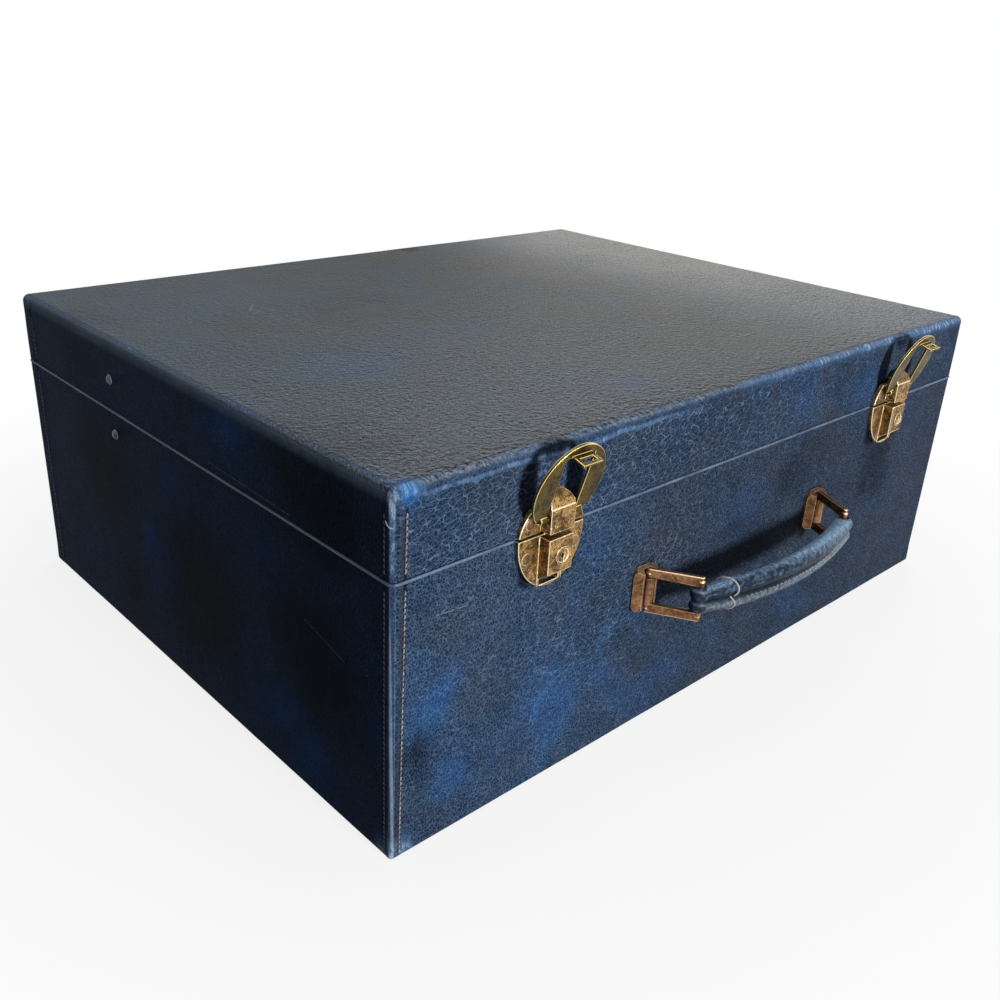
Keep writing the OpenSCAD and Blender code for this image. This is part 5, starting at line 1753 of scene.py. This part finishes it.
@dataclass
class Handle:
    """The brackets, the two loops and the leather grip between them; a length without MM is in millimetres."""

    left_end: Vector = field(default_factory=lambda: Vector((-64.015, -209.143, 0.0)) * MM)
    right_end: Vector = field(default_factory=lambda: Vector((68.378, -210.209, 0.0)) * MM)
    bow: float = 11 * MM
    bracket_edge: float = 0.32 * MM
    loop_edge: float = 0.42 * MM
    upper: RollShape = RollShape(5.1 * MM, 89.0 * MM, (5.2 * MM, 3.95 * MM, 88.5 * MM), 1.4)
    lower: RollShape = RollShape(3.9 * MM, 80.2 * MM, (5.0 * MM, 3.45 * MM, 81.65 * MM), 1.8, 0.35)
    sleeve_rolls: tuple[Place, ...] = ((88.5 * MM, 3.97 * MM, 5.3 * MM), (81.65 * MM, 3.48 * MM, 5.1 * MM))
    bores: tuple[float, float] = (2.05 * MM, 3.0 * MM)
    tied_at: float = 17 * MM
    thread_r: float = 0.52 * MM
    tongue_run: tuple[float, float] = (3.4, 16.8)
    tongue: tuple[tuple[float, float], ...] = (
        (-1.0, -0.5), (-1.0, 0.15), (-0.6, 0.34), (0.6, 0.34), (1.0, 0.15), (1.0, -0.5))
    stitch_r: float = 0.32 * MM
    stitch_from: float = 27.0
    stitch_pitch: float = 3.2
    stitch_len: float = 2.0 * MM
    stitch_count: int = 30
    sleeve_z: tuple[float, float] = (78.15, 92.45)
    sleeve_wall: float = 0.4 * MM

    def build(self, bench: Bench) -> None:
        """Makes the grip and finishes the metal of the handle.

        Args:
            bench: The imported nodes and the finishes.
        """
        bench.soften(Finish.HANDLE, self.bracket_edge, "left_handle_bracket", "right_handle_bracket", held=True)
        bench.soften(Finish.HANDLE, self.loop_edge, "left_handle_loop", "right_handle_loop")
        bench.keep(Finish.RIVET, "handle_bracket_rivets")
        shop = bench.shop
        self._roll("grip_roll", "grip_tube", self.upper, Finish.GRIP, shop)
        self._roll("grip_welt_roll", "grip_welt", self.lower, Finish.WELT, shop)
        self._sleeve("left_sleeve_rolls", "grip_left_sleeve", self.left_end, self.bores[0], shop)
        self._sleeve("right_sleeve_rolls", "grip_right_sleeve", self.right_end, self.bores[1], shop)
        self._tongue(shop)
        self._threads(shop)

    @property
    def radius(self) -> float:
        """Radius of the grip's bow."""
        half_span = (self.right_end - self.left_end).length / 2
        return (half_span ** 2 + self.bow ** 2) / (2 * self.bow)

    @property
    def length(self) -> float:
        """Length of the bow from bar to bar."""
        half_span = (self.right_end - self.left_end).length / 2
        return 2 * self.radius * math.asin(half_span / self.radius)

    def arc(self, distance: float, z: float) -> Vector:
        """A point on the grip's bow.

        Args:
            distance: How far along the bow from its left end.
            z: Height of the point.

        Returns:
            The point.
        """
        chord = self.right_end - self.left_end
        radius = self.radius
        turn = distance / radius - math.asin(chord.length / 2 / radius)
        along = chord.length / 2 + radius * math.sin(turn)
        behind = (radius - self.bow) - radius * math.cos(turn)
        ahead = chord.normalized()
        return self.left_end + ahead * along + Vector((-ahead.y, ahead.x, 0.0)) * behind + UP * z

    def side(self, s: float) -> Vector:
        """The way out of the bow, at a distance from its left end."""
        way = (self.arc(s + 0.1 * MM, 0.0) - self.arc(s - 0.1 * MM, 0.0)).normalized()
        return Vector((way.y, -way.x, 0.0))

    def _skin_at(self, shape: RollShape, s: float, turn: float) -> Vector:
        """A point on a roll's skin.

        Args:
            shape: The roll's shape.
            s: Distance along the bow.
            turn: Angle round the roll, from its outer side upwards.

        Returns:
            The point.
        """
        edge = min(s, self.length - s)
        wide, tall, z = shape.section(edge)
        out = math.cos(turn) * tall + (wide - tall) * max(-1.0, min(1.0, 3.0 * math.cos(turn)))
        up = math.sin(turn) * tall
        if shape.pointed and out > 0:
            share = math.exp(-(edge / (20 * MM)) ** 2)
            up *= 1.0 - shape.pointed * (1.0 - share) * math.cos(turn) ** 2
        return self.arc(s, z) + self.side(s) * out + UP * up

    def _roll_wear_and_shading(self, shape: RollShape, s: float, turn: float, bumps: float, fine: float) -> float:
        """How bright a point of a roll is painted, for rubbing and a painted sheen, or how dark, for painted shade in
        the gap between the rolls and under the upper roll.

        Args:
            shape: The roll's shape.
            s: Distance along the bow.
            turn: Angle round the roll, from its outer side upwards.
            bumps: Its broad unevenness there.
            fine: Its fine unevenness there.

        Returns:
            The brightness from 0 to 1, or down to -1 where it is painted shade.
        """
        far = float(smooth(30 * MM, self.length - 8 * MM, np.array(s)))
        bent = float(smooth(20 * MM, 14 * MM, np.array(s)))
        # Painted sheen: a highlight along the top, broader and stronger toward the right end, a highlight line near
        # the left end, and the outer side brightened toward the right end.
        top = max(0.0, math.sin(turn - 0.35 * far))
        worn = (0.42 + 1.25 * far) * top ** (5.0 - 3.4 * far) * (1.0 - 0.6 * bent) + 0.10 * max(0.0, bumps)
        worn += 0.7 * bent * math.exp(-((turn - 1.15) / 0.26) ** 2)
        worn += 0.3 * far * max(0.0, math.cos(turn - 0.5)) ** 3
        # Painted shade on the top of the lower roll, in the gap under the upper roll, and on the upper roll's
        # underside; the lower roll's outer edge has a painted highlight.
        if shape.pointed:
            worn += 0.42 * max(0.0, math.cos(turn - 0.1)) ** 6 - 3.6 * max(0.0, math.sin(turn) - 0.64)
        else:
            worn -= 2.4 * max(0.0, -math.sin(turn) - 0.04)
        worn += 0.15 * math.exp(-abs(s - self.tied_at) / (3 * MM)) + 0.45 * fine
        return max(-1.0, min(1.0, worn))

    def _roll(self, name: str, node: str, shape: RollShape, finish: Finish, shop: Workshop) -> None:
        """Makes one of the grip's two leather rolls.

        Args:
            name: The piece's name.
            node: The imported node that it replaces.
            shape: The roll's shape.
            finish: Its finish.
            shop: Gives the finishes.
        """
        count, sides = 190, 32
        verts, wear_and_shading = [], []
        for i in range(count + 1):
            for k in range(sides):
                turn = 2 * math.pi * k / sides
                across, above = math.cos(turn), math.sin(turn)
                first, last = (math.sqrt(max(0.0, (bore + 0.5 * MM) ** 2 - (shape.end[0] * across) ** 2))
                               for bore in self.bores)
                s = first + (self.length - first - last) * i / count
                bumps = noise.noise(Vector((s / (8 * MM), across * 1.3, above * 1.3 + shape.z * 40)))
                fine = noise.noise(Vector((s / (2.4 * MM), across * 3.4, above * 3.4)))
                push = shape.r * (-0.03 + 0.022 * shape.uneven * bumps + 0.012 * shape.uneven * fine)
                push -= shape.r * 0.08 * math.exp(-(abs(s - self.tied_at) / (1.2 * MM)) ** 2)
                verts.append(self._skin_at(shape, s, turn) + (self.side(s) * across + UP * above) * push)
                wear_and_shading.append(self._roll_wear_and_shading(shape, s, turn, bumps, fine))
        faces = ring_faces(count + 1, sides)
        for start in (0, count * sides):
            for k in range(sides // 2):
                ends = (k, k + 1, (sides - k - 1) % sides, (sides - k) % sides)
                faces.append(tuple(dict.fromkeys(start + e for e in ends)))
        shop.make(name, (verts, faces), "grip", finish, {"wear_and_shading": wear_and_shading}, node)

    def _tongue(self, shop: Workshop) -> None:
        """Makes the flat tongue of leather on top of the rolls at the left end, held by the thread.

        Args:
            shop: Gives the finishes.
        """
        start, end = self.tongue_run
        verts, count, sides = [], 23, len(self.tongue)
        for t in np.linspace(0.0, 1.0, count):
            s = (start + (end - start) * t) * MM
            z = (91.8 + 1.7 * min(1.0, t * 1.5) ** 0.7) * MM
            wide = (1.7 + 0.4 * t) * MM
            for out, up in self.tongue:
                verts.append(self.arc(s, z) + self.side(s) * (out * wide + 0.5 * MM) + UP * (up * MM))
        faces = ring_faces(count, sides) + end_faces(count, sides)
        shop.make("grip_tongues", (verts, faces), "grip", Finish.GRIP, {"wear_and_shading": np.full(len(verts), 0.5)})

    def _threads(self, shop: Workshop) -> None:
        """Makes the slanting turns of waxed thread at the left end, and the stitches of the lower roll's edge.

        Args:
            shop: Gives the finishes.
        """
        parts, soiled_and_shaded = [], []
        for shape, low, high, middle, swing, proud in ((self.upper, -50, 165, 16.0, 3.4, 0.5),
                                                       (self.lower, -140, 70, 16.4, 2.6, 0.0)):
            path = []
            for turn in np.radians(np.linspace(low, high, 34)).tolist():
                s = (middle + swing * math.cos(turn)) * MM
                out = self.side(s) * math.cos(turn) + UP * math.sin(turn)
                over = 0.05 + proud * max(0.0, math.sin(turn)) ** 4
                path.append(self._skin_at(shape, s, turn) + out * over * MM)
            parts.append(tube(path, self.thread_r, 8))
            soiled_and_shaded += [0.0] * len(parts[-1][0])
        for i in range(self.stitch_count):
            s = (self.stitch_from + self.stitch_pitch * i) * MM
            if s > self.length - 10 * MM:
                break
            path = []
            for t in np.linspace(0.0, 1.0, 5).tolist():
                turn = math.radians(34.0 + 10.0 * math.sin(math.pi * t))
                lift = (-0.25 + 0.3 * math.sin(math.pi * t)) * MM
                path.append(self._skin_at(self.lower, s + self.stitch_len * t, turn) + self.side(s) * lift)
            parts.append(tube(path, self.stitch_r, 6))
            soiled_and_shaded += [0.25] * len(parts[-1][0])
        shop.make("grip_thread_turns", merged(parts), "grip", Finish.THREAD, {"soil_and_shade": soiled_and_shaded}, "grip_threads")

    def _sleeve(self, name: str, node: str, middle: Vector, bore: float, shop: Workshop) -> None:
        """Makes the rolled end of the grip, which turns round a loop's bar.

        Args:
            name: The piece's name.
            node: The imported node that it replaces.
            middle: Where the bar stands.
            bore: Radius of the hole round the bar.
            shop: Gives the finishes.
        """
        heights = np.linspace(*self.sleeve_z, 34) * MM
        outer = []
        for z in heights:
            reach = bore + 0.5 * MM
            for mid, half, r in self.sleeve_rolls:
                t = abs(z - mid) / half
                if t < 1.0:
                    reach = max(reach, (r - half) + half * (1.0 - t * t) ** 0.5)
            outer.append(reach)
        loop = [(r, z) for r, z in zip(outer, heights)] + [(bore, heights[-1]), (bore, heights[0])]
        sides, verts, wear_and_shading = 40, [], []
        for k in range(sides):
            turn = 2 * math.pi * k / sides
            for number, (r, z) in enumerate(loop):
                rough = noise.noise(Vector((math.cos(turn) * 2.2, math.sin(turn) * 2.2, z / (2.2 * MM))))
                reach = r if number >= len(outer) else max(bore + self.sleeve_wall, r * (0.985 + 0.03 * rough))
                verts.append((middle.x + reach * math.cos(turn), middle.y + reach * math.sin(turn), z))
                # A painted highlight near the top of each roll, and a painted sheen on the right sleeve; the noise is
                # rubbing.
                crown_highlight = max(math.exp(-((z - mid - half * 0.62) / (0.55 * MM)) ** 2)
                            for mid, half, _ in self.sleeve_rolls)
                wear_and_shading.append(0.05 + 0.5 * max(0.0, rough) + 0.75 * crown_highlight ** 2 + 0.4 * (middle.x > 0))
        shape = verts, ring_faces(sides, len(loop), joined=True)
        piece = shop.make(name, shape, "grip", Finish.SLEEVE, {"wear_and_shading": wear_and_shading}, node)
        piece.data.set_sharp_from_angle(angle=math.radians(60.0))


@dataclass(frozen=True)
class Lamp:
    """A soft lamp of the studio."""

    name: str
    place: Place
    aim: Place
    width: float
    height: float
    power: float
    colour: tuple[float, float, float]

    def hang(self) -> bpy.types.Object:
        """Adds the lamp to the scene.

        Returns:
            The lamp.
        """
        light = bpy.data.lights.new(self.name, "AREA")
        light.shape = "RECTANGLE"
        light.size, light.size_y = self.width, self.height
        light.energy = self.power
        light.color = self.colour
        lamp = bpy.data.objects.new(self.name, light)
        lamp.location = self.place
        way = Vector(self.aim) - Vector(self.place)
        lamp.rotation_euler = way.to_track_quat("-Z", "Y").to_euler()
        bpy.context.scene.collection.objects.link(lamp)
        return lamp


@dataclass
class Studio:
    """The white floor, the lamps, the surroundings and the camera."""

    azimuth: float = -43.5005
    elevation: float = 24.4052
    roll: float = -2.7177
    place: Place = (-0.450598, -0.461127, 0.335416)
    lens: float = 37.335
    sensor: float = 36.0
    shift: tuple[float, float] = (0.01292, 0.0030)
    ambient: float = 0.08
    sky: Colour = (0.86, 0.9, 1.0, 1.0)
    white: Colour = (1.0, 1.0, 1.0, 1.0)
    floor_white: Colour = (0.86, 0.86, 0.86, 1.0)
    floor_bounce: Colour = (0.2, 0.2, 0.2, 1.0)
    floor_half: float = 6.0
    floor_drop: float = 0.0002
    fade: tuple[float, float] = (0.24, 0.58)
    least_glow: float = 0.84
    lamps: tuple[Lamp, ...] = (
        Lamp("key", (-0.20, -1.80, 0.46), (0.0, -0.18, 0.09), 0.36, 0.3, 26.0, (1.0, 0.97, 0.94)),
        Lamp("window", (1.35, 0.75, 0.62), (0.05, 0.05, 0.18), 1.1, 0.8, 12.0, (1.0, 0.95, 0.88)),
        Lamp("sky", (0.1, -0.15, 1.7), (0.05, 0.0, 0.1), 1.0, 1.0, 9.0, (0.94, 0.97, 1.0)),
    )

    def build(self) -> None:
        """Sets up the whole studio."""
        scene = bpy.context.scene
        scene.view_settings.view_transform = "Standard"
        self._world(scene)
        self._floor()
        self._camera(scene)
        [lamp.hang() for lamp in self.lamps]

    def _world(self, scene: bpy.types.Scene) -> None:
        """A white backdrop for the camera and reflections, and a softer light on everything else.

        Args:
            scene: The scene that is lit.
        """
        scene.world = bpy.data.worlds.new("studio")
        nodes = Nodes(scene.world)
        dim = nodes.node("ShaderNodeBackground", {}, {"Color": self.sky, "Strength": self.ambient})
        white = nodes.node("ShaderNodeBackground", {}, {"Color": self.white, "Strength": 1.0})
        shown = nodes.blend(nodes.seen_plainly(), dim, white)
        nodes.node("ShaderNodeOutputWorld", {}, {"Surface": shown.out()})

    def _floor(self) -> None:
        """A white floor that keeps the case's shadow and fades into the backdrop."""
        mesh = bpy.data.meshes.new("floor")
        corners = [(x * self.floor_half, y * self.floor_half, 0) for x, y in ((-1, -1), (1, -1), (1, 1), (-1, 1))]
        mesh.from_pydata(corners, [], [(0, 1, 2, 3)])
        floor = bpy.data.objects.new("floor", mesh)
        floor.location.z = -self.floor_drop
        bpy.context.scene.collection.objects.link(floor)
        material = bpy.data.materials.new("white_floor")
        nodes = Nodes(material)
        matt = nodes.node("ShaderNodeBsdfPrincipled", {}, {
            "Base Color": self.floor_white, "Roughness": 0.9, "Specular IOR Level": 0.0})
        glow = nodes.node("ShaderNodeEmission", {}, {"Color": self.white, "Strength": 1.0})
        place = nodes.node("ShaderNodeTexCoord", {}, {}).out("Object")
        away = nodes.node("ShaderNodeVectorMath", {"operation": "LENGTH"}, {0: place}).value("Value")
        fade = nodes.node("ShaderNodeMapRange", {"interpolation_type": "SMOOTHSTEP"}, {
            "Value": away, "From Min": self.fade[0], "From Max": self.fade[1], "To Min": self.least_glow}).value(0)
        bounce = nodes.node("ShaderNodeBsdfDiffuse", {}, {"Color": self.floor_bounce})
        shown = nodes.blend(nodes.seen_plainly(), bounce, nodes.blend(fade, matt, glow))
        nodes.node("ShaderNodeOutputMaterial", {}, {"Surface": shown.out()})
        mesh.materials.append(material)

    def _camera(self, scene: bpy.types.Scene) -> None:
        """The camera, where the photograph was taken from.

        Args:
            scene: The scene that is seen.
        """
        a, e, t = (math.radians(v) for v in (self.azimuth, self.elevation, self.roll))
        ahead = Vector((-math.sin(a) * math.cos(e), math.cos(a) * math.cos(e), -math.sin(e)))
        right = ahead.cross(UP).normalized()
        down = ahead.cross(right)
        across = right * math.cos(t) + down * math.sin(t)
        below = down * math.cos(t) - right * math.sin(t)
        camera = bpy.data.objects.new("camera", bpy.data.cameras.new("camera"))
        camera.data.lens = self.lens
        camera.data.sensor_width = self.sensor
        camera.data.shift_x, camera.data.shift_y = self.shift
        camera.data.clip_start = 0.01
        columns = Matrix((across, -below, -ahead)).transposed()
        camera.matrix_world = Matrix.Translation(self.place) @ columns.to_4x4()
        scene.collection.objects.link(camera)
        scene.camera = camera


def main() -> None:
    """Builds the case and its studio."""
    logging.basicConfig(level=logging.INFO, format="%(levelname)s %(message)s")
    bpy.ops.wm.read_factory_settings(use_empty=True)
    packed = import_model()
    shop = Workshop()
    bench = Bench(packed["nodes"], shop)
    Interior().build(bench)
    Fittings().build(bench)
    CaseCovers().build(shop)
    Handle().build(bench)
    Studio().build()
    for name, finish in shop.dressed:
        LOG.info("%s in %s", name, finish.value)
    LOG.info("%d pieces from %d packed nodes", len(shop.dressed), len(bench.nodes))


if __name__ == "__main__":
    main()
